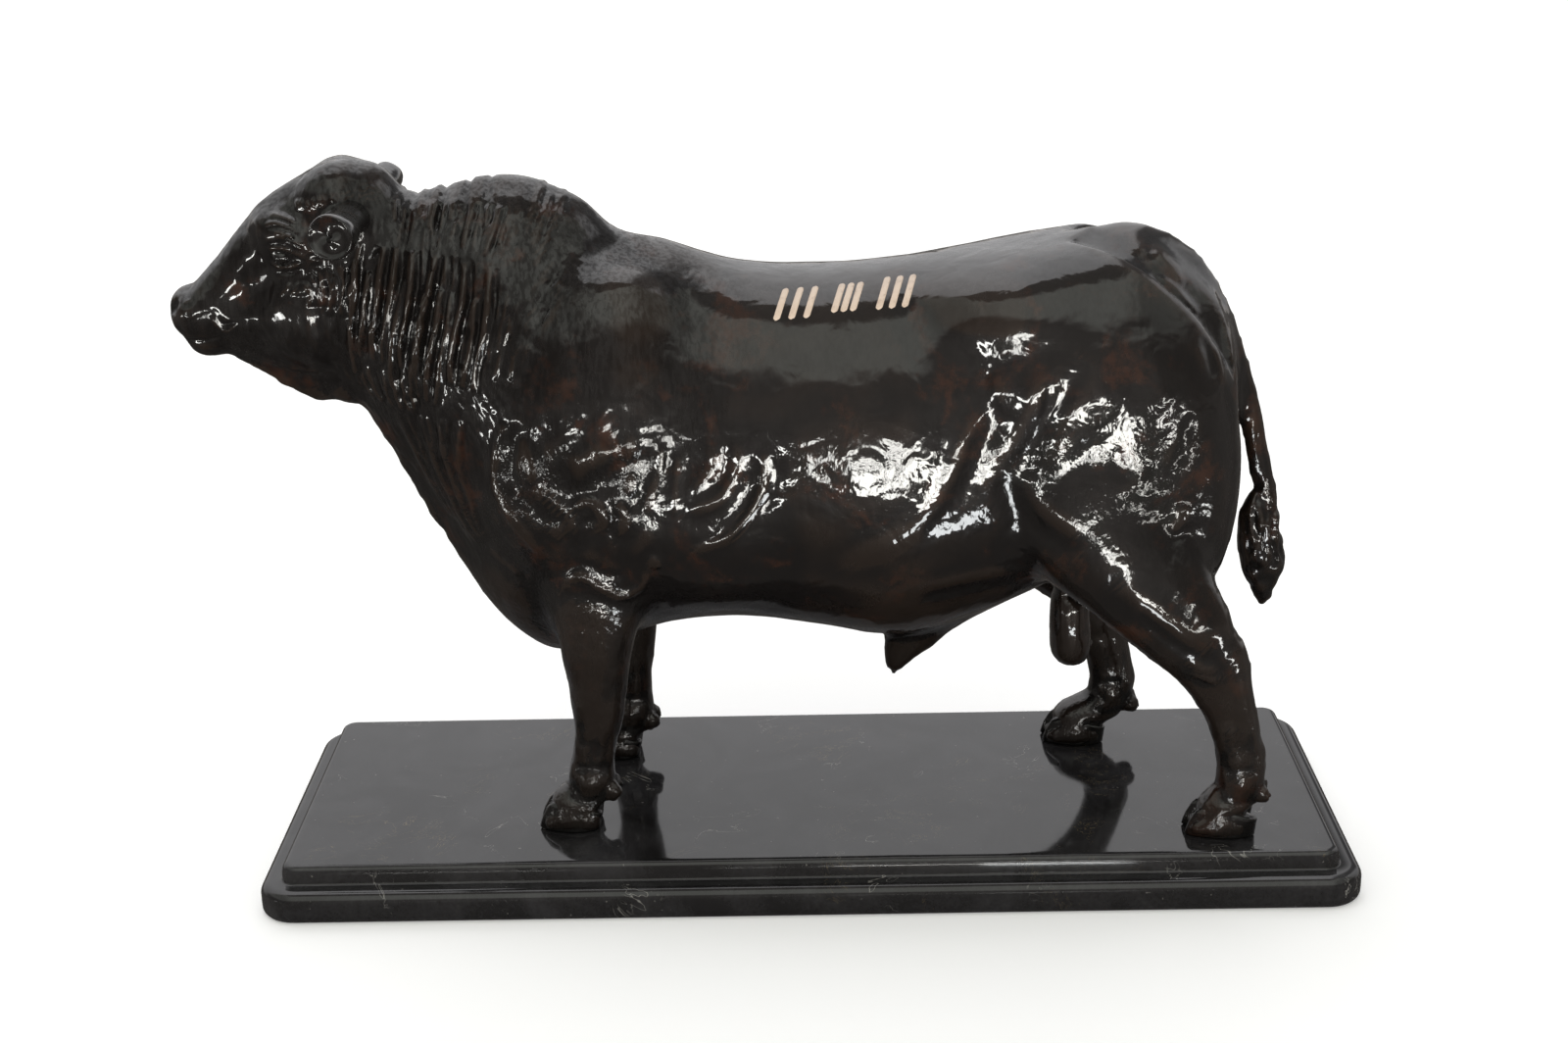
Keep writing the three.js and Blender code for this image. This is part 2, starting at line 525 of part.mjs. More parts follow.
// Collapses the edges that change the form least until the facet count is met.
function simplify({ points, faces }, target, weigh) {
  const n = points.length / 3;
  const around = Array.from({ length: n }, () => new Set());
  const quadric = Array.from({ length: n }, () => new Float64Array(10));
  const alive = new Uint8Array(faces.length / 3).fill(1);
  const stamp = new Int32Array(n);
  const normal = (a, b, c) => {
    const ux = b[0] - a[0];
    const uy = b[1] - a[1];
    const uz = b[2] - a[2];
    const vx = c[0] - a[0];
    const vy = c[1] - a[1];
    const vz = c[2] - a[2];
    return [uy * vz - uz * vy, uz * vx - ux * vz, ux * vy - uy * vx];
  };
  const place = (v) => [points[v * 3], points[v * 3 + 1], points[v * 3 + 2]];
  for (let f = 0; f < alive.length; f += 1) {
    const [a, b, c] = [faces[f * 3], faces[f * 3 + 1], faces[f * 3 + 2]];
    const p = place(a);
    const m = normal(p, place(b), place(c));
    const area = norm(...m);
    for (const v of [a, b, c]) around[v].add(f);
    if (area < 1e-12) continue;
    const [x, y, z] = m.map((value) => value / area);
    const d = -(x * p[0] + y * p[1] + z * p[2]);
    const w = area * weigh(p);
    const q = [x * x, x * y, x * z, x * d, y * y, y * z, y * d, z * z, z * d, d * d];
    for (const v of [a, b, c]) for (let k = 0; k < 10; k += 1) quadric[v][k] += q[k] * w;
  }
  const cost = (q, [x, y, z]) => q[0] * x * x + 2 * q[1] * x * y + 2 * q[2] * x * z + 2 * q[3] * x
    + q[4] * y * y + 2 * q[5] * y * z + 2 * q[6] * y + q[7] * z * z + 2 * q[8] * z + q[9];
  const best = (q, a, b) => {
    const middle = [(a[0] + b[0]) / 2, (a[1] + b[1]) / 2, (a[2] + b[2]) / 2];
    const e = (q[0] + q[4] + q[7]) * 2e-3 + 1e-9;
    const [A, B, C, D, E, F] = [q[0] + e, q[1], q[2], q[4] + e, q[5], q[7] + e];
    const r = [e * middle[0] - q[3], e * middle[1] - q[6], e * middle[2] - q[8]];
    const c0 = D * F - E * E;
    const c1 = C * E - B * F;
    const c2 = B * E - C * D;
    const det = A * c0 + B * c1 + C * c2;
    const x = (r[0] * c0 + r[1] * c1 + r[2] * c2) / det;
    const y = (r[0] * c1 + r[1] * (A * F - C * C) + r[2] * (B * C - A * E)) / det;
    const z = (r[0] * c2 + r[1] * (B * C - A * E) + r[2] * (A * D - B * B)) / det;
    const far = norm(x - middle[0], y - middle[1], z - middle[2]);
    const span = norm(a[0] - b[0], a[1] - b[1], a[2] - b[2]);
    return Number.isFinite(far) && far < span * 1.5 + 0.2 ? [x, y, z] : middle;
  };
  const heap = [];
  const before = (a, b) => heap[a].cost < heap[b].cost;
  const swap = (a, b) => {
    const held = heap[a];
    heap[a] = heap[b];
    heap[b] = held;
  };
  const push = (entry) => {
    heap.push(entry);
    for (let i = heap.length - 1; i > 0;) {
      const up = (i - 1) >> 1;
      if (!before(i, up)) break;
      swap(i, up);
      i = up;
    }
  };
  const pop = () => {
    swap(0, heap.length - 1);
    const entry = heap.pop();
    for (let i = 0; ;) {
      const left = i * 2 + 1;
      let least = i;
      if (left < heap.length && before(left, least)) least = left;
      if (left + 1 < heap.length && before(left + 1, least)) least = left + 1;
      if (least === i) break;
      swap(i, least);
      i = least;
    }
    return entry;
  };
  const joined = (a, b) => {
    const q = new Float64Array(10);
    for (let k = 0; k < 10; k += 1) q[k] = quadric[a][k] + quadric[b][k];
    return q;
  };
  const offer = (a, b) => {
    const q = joined(a, b);
    const pa = place(a);
    const pb = place(b);
    const to = best(q, pa, pb);
    const span = norm(pa[0] - pb[0], pa[1] - pb[1], pa[2] - pb[2]);
    const price = Math.max(cost(q, to), 0) + 2e-5 * span * span * span;
    push({ cost: price, a, b, to, sa: stamp[a], sb: stamp[b] });
  };
  const neighbours = (v) => {
    const set = new Set();
    for (const f of around[v]) for (let c = 0; c < 3; c += 1) set.add(faces[f * 3 + c]);
    set.delete(v);
    return set;
  };
  const turns = (v, other, to) => {
    for (const f of around[v]) {
      const ids = [faces[f * 3], faces[f * 3 + 1], faces[f * 3 + 2]];
      if (ids.includes(other)) continue;
      const was = normal(...ids.map(place));
      const now = normal(...ids.map((id) => (id === v ? to : place(id))));
      const size = norm(...was) * norm(...now);
      if (was[0] * now[0] + was[1] * now[1] + was[2] * now[2] < 0.25 * size) return true;
      const corners = ids.map((id) => (id === v ? to : place(id)));
      let longest = 0;
      for (let c = 0; c < 3; c += 1) {
        const [p, q] = [corners[c], corners[(c + 1) % 3]];
        longest = Math.max(longest, norm(p[0] - q[0], p[1] - q[1], p[2] - q[2]));
      }
      if (norm(...now) < 0.06 * longest * longest) return true;
    }
    return false;
  };
  for (let v = 0; v < n; v += 1) for (const w of neighbours(v)) if (v < w) offer(v, w);
  let left = alive.length;
  while (left > target && heap.length > 0) {
    const { a, b, to, sa, sb } = pop();
    if (stamp[a] !== sa || stamp[b] !== sb) continue;
    const ring = neighbours(b);
    if (!ring.has(a)) continue;
    let shared = 0;
    for (const v of neighbours(a)) if (ring.has(v)) shared += 1;
    if (shared !== 2 || turns(a, b, to) || turns(b, a, to)) continue;
    for (const f of [...around[b]]) {
      const ids = [faces[f * 3], faces[f * 3 + 1], faces[f * 3 + 2]];
      if (ids.includes(a)) {
        alive[f] = 0;
        left -= 1;
        for (const id of ids) around[id].delete(f);
      } else {
        faces[f * 3 + ids.indexOf(b)] = a;
        around[a].add(f);
      }
    }
    around[b].clear();
    quadric[a] = joined(a, b);
    points.set(to, a * 3);
    stamp[a] += 1;
    stamp[b] = -1;
    for (const w of neighbours(a)) offer(a, w);
  }
  const number = new Map();
  const position = [];
  const list = [];
  for (let f = 0; f < alive.length; f += 1) {
    if (!alive[f]) continue;
    for (let c = 0; c < 3; c += 1) {
      const v = faces[f * 3 + c];
      if (!number.has(v)) {
        number.set(v, position.length / 3);
        position.push(...place(v));
      }
      list.push(number.get(v));
    }
  }
  return { position, list };
}

function volume(position, list) {
  let sum = 0;
  for (let f = 0; f < list.length; f += 3) {
    const [a, b, c] = [0, 1, 2].map((k) => new THREE.Vector3().fromArray(position, list[f + k] * 3));
    sum += a.dot(b.cross(c)) / 6;
  }
  return sum;
}

function toGeometry(position, list) {
  const geometry = new THREE.BufferGeometry();
  geometry.setAttribute("position", new THREE.Float32BufferAttribute(position, 3));
  if (volume(position, list) < 0) {
    for (let f = 0; f < list.length; f += 3) [list[f], list[f + 1]] = [list[f + 1], list[f]];
  }
  geometry.setIndex(list);
  return geometry;
}

function bullGeometry() {
  const field = modelBull();
  const low = [-352, -98, -CELL * 1.5];
  const high = [288, 98, 386];
  const fine = skin(field, low, high, CELL);
  relax(fine, field, 2);
  const face = (p) => rise(-p[0], 205, 235) * rise(p[2], 225, 250);
  const foot = (p) => fall(p[2], 18, 42);
  const neck = (p) => fall(p[0], -150, -110) * rise(p[2], 170, 230);
  const weigh = (p) => 1 + 6 * face(p) + 14 * neck(p) * (1 - face(p)) + 1.5 * foot(p);
  const { position, list } = simplify(fine, BULL_FACETS, weigh);
  for (let v = 2; v < position.length; v += 3) if (position[v] < 0.25) position[v] = 0;
  const geometry = toGeometry(position, list);
  geometry.translate(0, 0, PLINTH_HEIGHT + SOLE_GAP);
  return geometry;
}

// Plinth edge as [inset, height]: lower bullnose, narrow shelf, upper tier with a round top edge.
function edgeProfile() {
  const profile = [[3.2, 0], [0.9, 1.2], [0, 3.6]];
  const round = 6.2;
  for (const angle of [0, 22, 45, 68, 90]) {
    const a = THREE.MathUtils.degToRad(angle);
    profile.push([round * (1 - Math.cos(a)), LOWER_TIER - round + round * Math.sin(a)]);
  }
  profile.push([TIER_STEP - 1, LOWER_TIER], [TIER_STEP, LOWER_TIER + 1.4]);
  const lip = 4;
  for (const angle of [0, 30, 60, 90]) {
    const a = THREE.MathUtils.degToRad(angle);
    profile.push([TIER_STEP + 0.6 + lip * (1 - Math.cos(a)), PLINTH_HEIGHT - lip + lip * Math.sin(a)]);
  }
  return profile;
}

function plinthGeometry() {
  const position = [];
  const list = [];
  const profile = edgeProfile();
  const corners = [[1, 1], [-1, 1], [-1, -1], [1, -1]];
  for (const [inset, height] of profile) {
    const radius = PLINTH_CORNER - inset;
    corners.forEach(([sx, sy], quarter) => {
      for (let step = 0; step <= CORNER_STEPS; step += 1) {
        const a = (quarter + step / CORNER_STEPS) * Math.PI / 2;
        position.push(
          sx * (PLINTH_LENGTH / 2 - PLINTH_CORNER) + radius * Math.cos(a),
          sy * (PLINTH_WIDTH / 2 - PLINTH_CORNER) + radius * Math.sin(a),
          height,
        );
      }
    });
  }
  const ring = corners.length * (CORNER_STEPS + 1);
  for (let row = 0; row + 1 < profile.length; row += 1) {
    for (let i = 0; i < ring; i += 1) {
      const j = (i + 1) % ring;
      const [a, b, c, d] = [row * ring + i, row * ring + j, (row + 1) * ring + j, (row + 1) * ring + i];
      list.push(a, b, c, a, c, d);
    }
  }
  const top = (profile.length - 1) * ring;
  for (let i = 1; i + 1 < ring; i += 1) {
    list.push(0, i + 1, i);
    list.push(top, top + i, top + i + 1);
  }
  return toGeometry(position, list);
}

const bull = new THREE.Mesh(
  bullGeometry(),
  new THREE.MeshStandardMaterial({ color: 0x2a1c14, metalness: 0.9, roughness: 0.22 }),
);
bull.name = "bronze_bull";

const plinth = new THREE.Mesh(
  plinthGeometry(),
  new THREE.MeshStandardMaterial({ color: 0x26272a, metalness: 0.0, roughness: 0.15 }),
);
plinth.name = "marble_plinth";

const group = new THREE.Group();
group.name = "bronze_bull_sculpture";
group.add(plinth, bull);

export default group;
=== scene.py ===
"""Dresses a cast bronze bull that stands on a polished marble plinth.

The bull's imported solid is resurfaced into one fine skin, and folds, muscles, wrinkles and tool marks are
worked into it. Ears, eyes and hooves are modelled apart and set into the skin. The marble is a moulded slab
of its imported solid's size. Lengths are in millimetres until a mesh is stored, except in the studio, where
they are in metres.
"""

from __future__ import annotations

import logging
import math
import random
from collections.abc import Callable, Iterable, Sequence
from dataclasses import dataclass, replace
from enum import Enum
from functools import partial

import bmesh
import bpy
import numpy as np
from mathutils import Matrix, Vector, noise
from mathutils.bvhtree import BVHTree

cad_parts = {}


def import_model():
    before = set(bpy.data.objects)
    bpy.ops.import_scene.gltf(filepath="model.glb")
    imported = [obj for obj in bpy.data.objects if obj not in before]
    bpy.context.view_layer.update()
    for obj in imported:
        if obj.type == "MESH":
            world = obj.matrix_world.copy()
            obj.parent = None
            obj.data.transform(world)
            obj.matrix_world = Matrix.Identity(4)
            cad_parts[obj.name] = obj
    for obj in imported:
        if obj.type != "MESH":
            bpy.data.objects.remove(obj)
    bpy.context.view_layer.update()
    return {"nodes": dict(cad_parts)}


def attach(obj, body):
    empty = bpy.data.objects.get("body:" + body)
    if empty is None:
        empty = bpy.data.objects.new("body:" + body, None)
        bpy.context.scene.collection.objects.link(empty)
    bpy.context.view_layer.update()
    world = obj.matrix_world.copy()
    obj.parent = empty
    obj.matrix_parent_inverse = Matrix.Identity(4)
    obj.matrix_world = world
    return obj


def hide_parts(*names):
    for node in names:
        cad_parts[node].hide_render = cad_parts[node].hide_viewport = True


LOG = logging.getLogger("bull")
MM = 0.001
SOLE = 28.3  # the height of the soles above the floor
BODY = "root"

# The reach of a tool mark in widths, and its least width and least full width in edge lengths
MARK_REACH = 3.0
LEAST_WIDTH = 0.55
FULL_WIDTH = 0.9


class Side(Enum):
    """A flank of the animal, as the sign of its Y."""

    NEAR = -1
    FAR = 1
    BOTH = 0

    def named(self, thing: str) -> str:
        """The name of a piece on this side."""
        return f"{self.name.lower()}_{thing}"


class Plane(Enum):
    """The plane that a tool mark is drawn in, as its two axes and the axis that it faces."""

    SIDE = (0, 2, 1)
    TOP = (0, 1, 2)


def smoothstep(values: np.ndarray, low: float, high: float) -> np.ndarray:
    """Eases values from 0 at low to 1 at high."""
    t = np.clip((values - low) / (high - low), 0.0, 1.0)
    return t * t * (3.0 - 2.0 * t)


def fade(values: np.ndarray, low: float, high: float) -> np.ndarray:
    """Eases values from 1 at low to 0 at high."""
    return 1.0 - smoothstep(values, low, high)


def ripple(points: np.ndarray, size: float, seed: int = 0) -> np.ndarray:
    """Smooth noise, from about -1 to 1, at points in millimetres. A swell is one size wide."""
    shift = Vector((seed * 17.3, seed * -9.1, seed * 5.7))
    return np.array([noise.noise(Vector(p) / size + shift) for p in points.tolist()]) * 1.6


def smooth_line(points: Sequence[Sequence[float]], steps: int = 6) -> np.ndarray:
    """Runs a smooth curve through points.

    Args:
        points: The places that the curve passes.
        steps: How many pieces each stretch is cut into.

    Returns:
        The points along the curve.
    """
    knots = np.array(points, float)
    if len(knots) < 3:
        return np.linspace(knots[0], knots[-1], steps + 1)
    padded = np.vstack([2 * knots[0] - knots[1], knots, 2 * knots[-1] - knots[-2]])
    rows = []
    for i in range(1, len(padded) - 2):
        p0, p1, p2, p3 = padded[i - 1 : i + 3]
        for step in range(steps):
            t = step / steps
            bend = (2 * p0 - 5 * p1 + 4 * p2 - p3) * t**2
            sweep = (3 * p1 - p0 - 3 * p2 + p3) * t**3
            rows.append(0.5 * (2 * p1 + (p2 - p0) * t + bend + sweep))
    rows.append(padded[-2])
    return np.array(rows)


class Surface:
    """A mesh held as arrays, shaped by smoothing and by moves along its normals."""

    def __init__(self, mesh: bpy.types.Mesh) -> None:
        """Reads a mesh.

        Args:
            mesh: The mesh, in metres.
        """
        self.mesh = mesh
        count = len(mesh.vertices)
        flat = np.empty(count * 3, np.float32)
        mesh.vertices.foreach_get("co", flat)
        self.points = flat.reshape(-1, 3).astype(np.float64) / MM
        ends = np.empty(len(mesh.edges) * 2, np.int32)
        mesh.edges.foreach_get("vertices", ends)
        self.ends = ends.reshape(-1, 2)
        self.degree = np.bincount(ends, minlength=count)
        mesh.calc_loop_triangles()
        corners = np.empty(len(mesh.loop_triangles) * 3, np.int32)
        mesh.loop_triangles.foreach_get("vertices", corners)
        self.triangles = corners.reshape(-1, 3)

    @property
    def x(self) -> np.ndarray:
        """Length along the animal, head at the negative end."""
        return self.points[:, 0]

    @property
    def y(self) -> np.ndarray:
        """Place across the animal, near flank negative."""
        return self.points[:, 1]

    @property
    def z(self) -> np.ndarray:
        """Height above the soles."""
        return self.points[:, 2] - SOLE

    def normals(self) -> np.ndarray:
        """Unit normals at the vertices, from the faces round them.

        Returns:
            One row for each vertex.
        """
        a, b, c = (self.points[self.triangles[:, k]] for k in range(3))
        facing = np.cross(b - a, c - a)
        total = np.zeros_like(self.points)
        for axis in range(3):
            for corner in self.triangles.T:
                total[:, axis] += np.bincount(corner, facing[:, axis], minlength=len(self.points))
        return total / np.maximum(np.linalg.norm(total, axis=1, keepdims=True), 1e-12)

    def _mean(self, for_first: np.ndarray, for_second: np.ndarray) -> np.ndarray:
        """The mean at each vertex of what its edges bring to their first and to their second ends.

        Args:
            for_first: What each edge brings to its first end.
            for_second: What it brings to its second.

        Returns:
            One number for each vertex.
        """
        total = np.bincount(self.ends[:, 0], for_first, minlength=len(self.points))
        total += np.bincount(self.ends[:, 1], for_second, minlength=len(self.points))
        return total / self.degree

    def spacing(self) -> np.ndarray:
        """The mean length of the edges at each vertex."""
        length = np.linalg.norm(self.points[self.ends[:, 0]] - self.points[self.ends[:, 1]], axis=1)
        return self._mean(length, length)

    def average(self, values: np.ndarray) -> np.ndarray:
        """The mean of the neighbours' values at each vertex.

        Args:
            values: One number or row for each vertex.

        Returns:
            The means, in the same shape.
        """
        rows = values.reshape(len(values), -1)
        mean = np.empty_like(rows)
        for k in range(rows.shape[1]):
            mean[:, k] = self._mean(rows[self.ends[:, 1], k], rows[self.ends[:, 0], k])
        return mean.reshape(values.shape)

    def smooth(self, weight: np.ndarray, rounds: int, back: float = 0.53) -> None:
        """Evens the surface out without shrinking its large forms.

        Args:
            weight: How strongly each vertex takes part, 0 to 1.
            rounds: The number of passes.
            back: The strength of the pass that restores the size, 0 for none.
        """
        for _ in range(rounds):
            for strength in (0.5, -back):
                if strength:
                    move = self.average(self.points) - self.points
                    self.points += move * (weight * strength)[:, None]

    def push(self, height: np.ndarray) -> None:
        """Moves each vertex out along its normal by its height."""
        self.points += self.normals() * height[:, None]

    def store(self) -> None:
        """Writes the points back to the mesh, in metres."""
        self.mesh.vertices.foreach_set("co", (self.points * MM).astype(np.float32).ravel())
        self.mesh.update()


Line = Sequence[tuple[float, float]]
Triple = tuple[float, float, float]
Section = Sequence[Triple]


@dataclass(frozen=True)
class Stroke:
    """One mark of a modelling tool along a smooth line.

    The line is drawn in a plane and works on the surface that faces it. A positive height is a ridge and a
    negative one a groove. A lip below 1 makes the right-hand side of the line steeper. A mark that wraps also
    works on the surface that is turned away, and one that is clear keeps that far from the middle. A mark of
    one side works only where the skin lies beyond that far from the middle.
    """

    line: Line
    width: float
    height: float
    lip: float = 1.0
    side: Side = Side.BOTH
    plane: Plane = Plane.SIDE
    wraps: bool = False
    clear: float = 0.0
    beyond: float = 0.0

    def marks(self) -> tuple[Stroke, ...]:
        """The mark on its own."""
        return (self,)

    def relief(
        self, surface: Surface, normals: np.ndarray, spacing: np.ndarray
    ) -> tuple[np.ndarray, np.ndarray]:
        """Works out how far the mark moves the surface.

        Args:
            surface: The surface that is worked.
            normals: Its unit normals.
            spacing: The mean length of its edges at each vertex. A mark much narrower than that fades.

        Returns:
            The indices of the vertices that move, and their heights.
        """
        first, second, facing = self.plane.value
        path = smooth_line(self.line)
        span = self.width * MARK_REACH
        places = np.column_stack([surface.points[:, first], surface.points[:, second]])
        if self.plane is not Plane.TOP:
            places[:, 1] -= SOLE
        low, high = path.min(axis=0) - span, path.max(axis=0) + span
        inside = np.all((places > low) & (places < high), axis=1)
        if self.side is not Side.BOTH:
            inside &= surface.y * self.side.value > self.beyond
        which = np.nonzero(inside)[0]
        if not len(which):
            return which, np.zeros(0)
        here = places[which]
        starts, runs = path[:-1], np.diff(path, axis=0)
        lengths = np.maximum((runs**2).sum(axis=1), 1e-9)
        offset = here[:, None, :] - starts[None]
        along = (offset * runs[None]).sum(axis=2) / lengths
        held = np.clip(along, 0.0, 1.0)
        gap = offset - held[..., None] * runs[None]
        distance = np.sqrt((gap**2).sum(axis=2))
        nearest = distance.argmin(axis=1)
        row = np.arange(len(which))
        aside, run = offset[row, nearest], runs[nearest]
        turn = run[:, 0] * aside[:, 1] - run[:, 1] * aside[:, 0]
        wide = np.where(turn < 0, self.width * self.lip, self.width)
        wide = np.maximum(wide, spacing[which] * LEAST_WIDTH)
        shape = np.exp(-((distance[row, nearest] / wide) ** 2))
        shape *= np.clip(self.width / (spacing[which] * FULL_WIDTH), 0.0, 1.0) ** 2
        t = (nearest + held[row, nearest]) / len(runs)
        shape *= np.clip(np.minimum(t, 1.0 - t) * 4.0, 0.0, 1.0) ** 0.5
        if self.plane is Plane.TOP:
            shape *= smoothstep(normals[which, facing], 0.05, 0.3)
        elif not self.wraps:
            shape *= smoothstep(np.abs(normals[which, facing]), 0.12, 0.5)
        if self.clear:
            shape *= smoothstep(np.abs(surface.y[which]), self.clear * 0.5, self.clear)
        return which, shape * self.height


@dataclass(frozen=True)
class Fan:
    """A spread of like marks between two outer ones, each a little different.

    The outer marks are drawn from the same end. A groove is cut beside each ridge. Ragged is the share of a
    mark that may be missing at an end, and wander is how far it strays.
    """

    first: Line
    last: Line
    count: int
    model: Stroke
    groove: float = 0.0
    ragged: float = 0.2
    wander: float = 0.6
    seed: int = 1

    def marks(self) -> tuple[Stroke, ...]:
        """Works the marks out.

        Returns:
            The ridges, each with its groove.
        """
        chance = random.Random(self.seed)
        share = np.linspace(0.0, 1.0, 8)
        edges = []
        for line in (self.first, self.last):
            path = smooth_line(line)
            at = np.linspace(0.0, 1.0, len(path))
            edges.append(np.column_stack([np.interp(share, at, path[:, k]) for k in (0, 1)]))
        step = (edges[1] - edges[0]) / max(self.count - 1, 1)
        made = []
        for i in range(self.count):
            centre = edges[0] + step * (i + chance.uniform(-0.28, 0.28))
            sway = np.array([chance.uniform(-1.0, 1.0) for _ in share]) * self.wander
            centre[:, 0] += sway
            keep = share >= chance.uniform(0.0, self.ragged)
            keep &= share <= 1.0 - chance.uniform(0.0, self.ragged)
            if keep.sum() < 3:
                keep = share < 0.7
            size = chance.uniform(0.7, 1.25)
            made.append(replace(self.model, line=centre[keep], height=self.model.height * size))
            if self.groove:
                beside = (centre + step * chance.uniform(0.4, 0.6))[keep]
                narrow = self.model.width * 0.5
                made.append(replace(self.model, line=beside, width=narrow, height=-self.groove * size))
        return tuple(made)


def tool(surface: Surface, marks: Iterable[Stroke | Fan]) -> None:
    """Works marks into a surface, all at once.

    Args:
        surface: The surface that is worked.
        marks: The strokes and fans of strokes.
    """
    normals, spacing = surface.normals(), surface.spacing()
    height = np.zeros(len(surface.points))
    for mark in marks:
        for stroke in mark.marks():
            which, relief = stroke.relief(surface, normals, spacing)
            np.add.at(height, which, relief)
    surface.points += normals * height[:, None]


class Value:
    """A shader socket that takes part in arithmetic."""

    def __init__(self, shader: NodeTree, socket: bpy.types.NodeSocket) -> None:
        """Wraps a socket of a shader's node."""
        self.shader = shader
        self.socket = socket

    def maths(self, operation: str, other: Value | float = 0.0, flipped: bool = False) -> Value:
        """Adds one Math node.

        Args:
            operation: The node's operation.
            other: The second operand.
            flipped: Whether the operands change places.

        Returns:
            The node's result.
        """
        pair = (other, self) if flipped else (self, other)
        node = self.shader.node("ShaderNodeMath", {"operation": operation}, {0: pair[0], 1: pair[1]})
        return Value(self.shader, node.outputs[0])

    def __add__(self, other: Value | float) -> Value:
        """Adds."""
        return self.maths("ADD", other)

    __radd__ = __add__

    def __mul__(self, other: Value | float) -> Value:
        """Multiplies."""
        return self.maths("MULTIPLY", other)

    __rmul__ = __mul__

    def __sub__(self, other: Value | float) -> Value:
        """Subtracts the other."""
        return self.maths("SUBTRACT", other)

    def __rsub__(self, other: float) -> Value:
        """Is subtracted from the other."""
        return self.maths("SUBTRACT", other, flipped=True)

    def __truediv__(self, other: Value | float) -> Value:
        """Divides by the other."""
        return self.maths("DIVIDE", other)

    def most(self, other: Value | float) -> Value:
        """The larger of the two."""
        return self.maths("MAXIMUM", other)

    def eased(self, low: float, high: float) -> Value:
        """Goes smoothly from 0 at low to 1 at high.

        Args:
            low: The value that gives 0.
            high: The value that gives 1.

        Returns:
            The eased value.
        """
        inputs = {"Value": self, "From Min": low, "From Max": high}
        node = self.shader.node("ShaderNodeMapRange", {"interpolation_type": "SMOOTHSTEP"}, inputs)
        return Value(self.shader, node.outputs["Result"])

    def crossing(self, width: float) -> Value:
        """Is 1 where the value crosses 0.5 and falls to 0 within the width, which draws a thin line."""
        return 1.0 - (self - 0.5).maths("ABSOLUTE").eased(0.0, width)


class NodeTree:
    """A tree of shader nodes and the coordinates that it works in."""

    def __init__(self, owner: bpy.types.Material | bpy.types.World, coordinates: str) -> None:
        """Empties an owner's tree.

        Args:
            owner: The material or world.
            coordinates: The kind of coordinates that the patterns use.
        """
        owner.use_nodes = True
        self.tree = owner.node_tree
        self.tree.nodes.clear()
        self.place = self.node("ShaderNodeTexCoord").outputs[coordinates]

    def node(
        self,
        kind: str,
        settings: dict[str, object] | None = None,
        inputs: dict[str | int, object] | None = None,
    ) -> bpy.types.Node:
        """Adds a node.

        Args:
            kind: The node's type.
            settings: Its settings, set before its sockets.
            inputs: The values or links of its sockets.

        Returns:
            The node.
        """
        node = self.tree.nodes.new(kind)
        for name, value in (settings or {}).items():
            setattr(node, name, value)
        for name, value in (inputs or {}).items():
            socket = node.inputs[name]
            if isinstance(value, Value):
                value = value.socket
            if isinstance(value, bpy.types.NodeSocket):
                self.tree.links.new(value, socket)
            else:
                socket.default_value = value
        return node

    def stretched(self, scale: Triple, turn: Triple = (0, 0, 0)) -> bpy.types.NodeSocket:
        """Object coordinates, turned and then scaled."""
        inputs = {"Vector": self.place, "Rotation": turn, "Scale": tuple(1.0 / s for s in scale)}
        return self.node("ShaderNodeMapping", {"vector_type": "TEXTURE"}, inputs).outputs[0]

    def noise(
        self,
        size: float,
        detail: float = 2.0,
        roughness: float = 0.5,
        distortion: float = 0.0,
        vector: bpy.types.NodeSocket | None = None,
    ) -> Value:
        """Noise from 0 to 1.

        Args:
            size: The width of one swell in millimetres.
            detail: The number of finer layers.
            roughness: The strength of the finer layers.
            distortion: How far the pattern is pulled about.
            vector: The coordinates, or None for the object's own.

        Returns:
            The noise.
        """
        inputs = {"Vector": vector or self.place, "Scale": 1.0 / (size * MM), "Detail": detail}
        inputs |= {"Roughness": roughness, "Distortion": distortion}
        return Value(self, self.node("ShaderNodeTexNoise", {}, inputs).outputs[0])

    def attribute(self, name: str) -> Value:
        """A number stored on the mesh."""
        node = self.node("ShaderNodeAttribute", {"attribute_name": name})
        return Value(self, node.outputs["Fac"])

    def blend(self, share: Value | float, first: object, second: object) -> bpy.types.NodeSocket:
        """Mixes two colours.

        Args:
            share: The share of the second colour.
            first: A colour or a colour socket.
            second: A colour or a colour socket.

        Returns:
            The mixed colour.
        """
        colours = [(*c, 1.0) if isinstance(c, tuple) and len(c) == 3 else c for c in (first, second)]
        node = self.node("ShaderNodeMix", {"data_type": "RGBA"}, {0: share, 6: colours[0], 7: colours[1]})
        return node.outputs[2]

    def bump(
        self, height: Value, depth: float, under: bpy.types.NodeSocket | None = None, strength: float = 1.0
    ) -> bpy.types.NodeSocket:
        """Raises the surface by a height of 0 to 1.

        Args:
            height: The height.
            depth: The depth in millimetres that a height of 1 stands for.
            under: The normal of a coarser bump below this one.
            strength: How much of the bump shows.

        Returns:
            The normal.
        """
        inputs: dict[str | int, object] = {"Height": height, "Distance": depth * MM, "Strength": strength}
        if under is not None:
            inputs["Normal"] = under
        return self.node("ShaderNodeBump", {}, inputs).outputs[0]


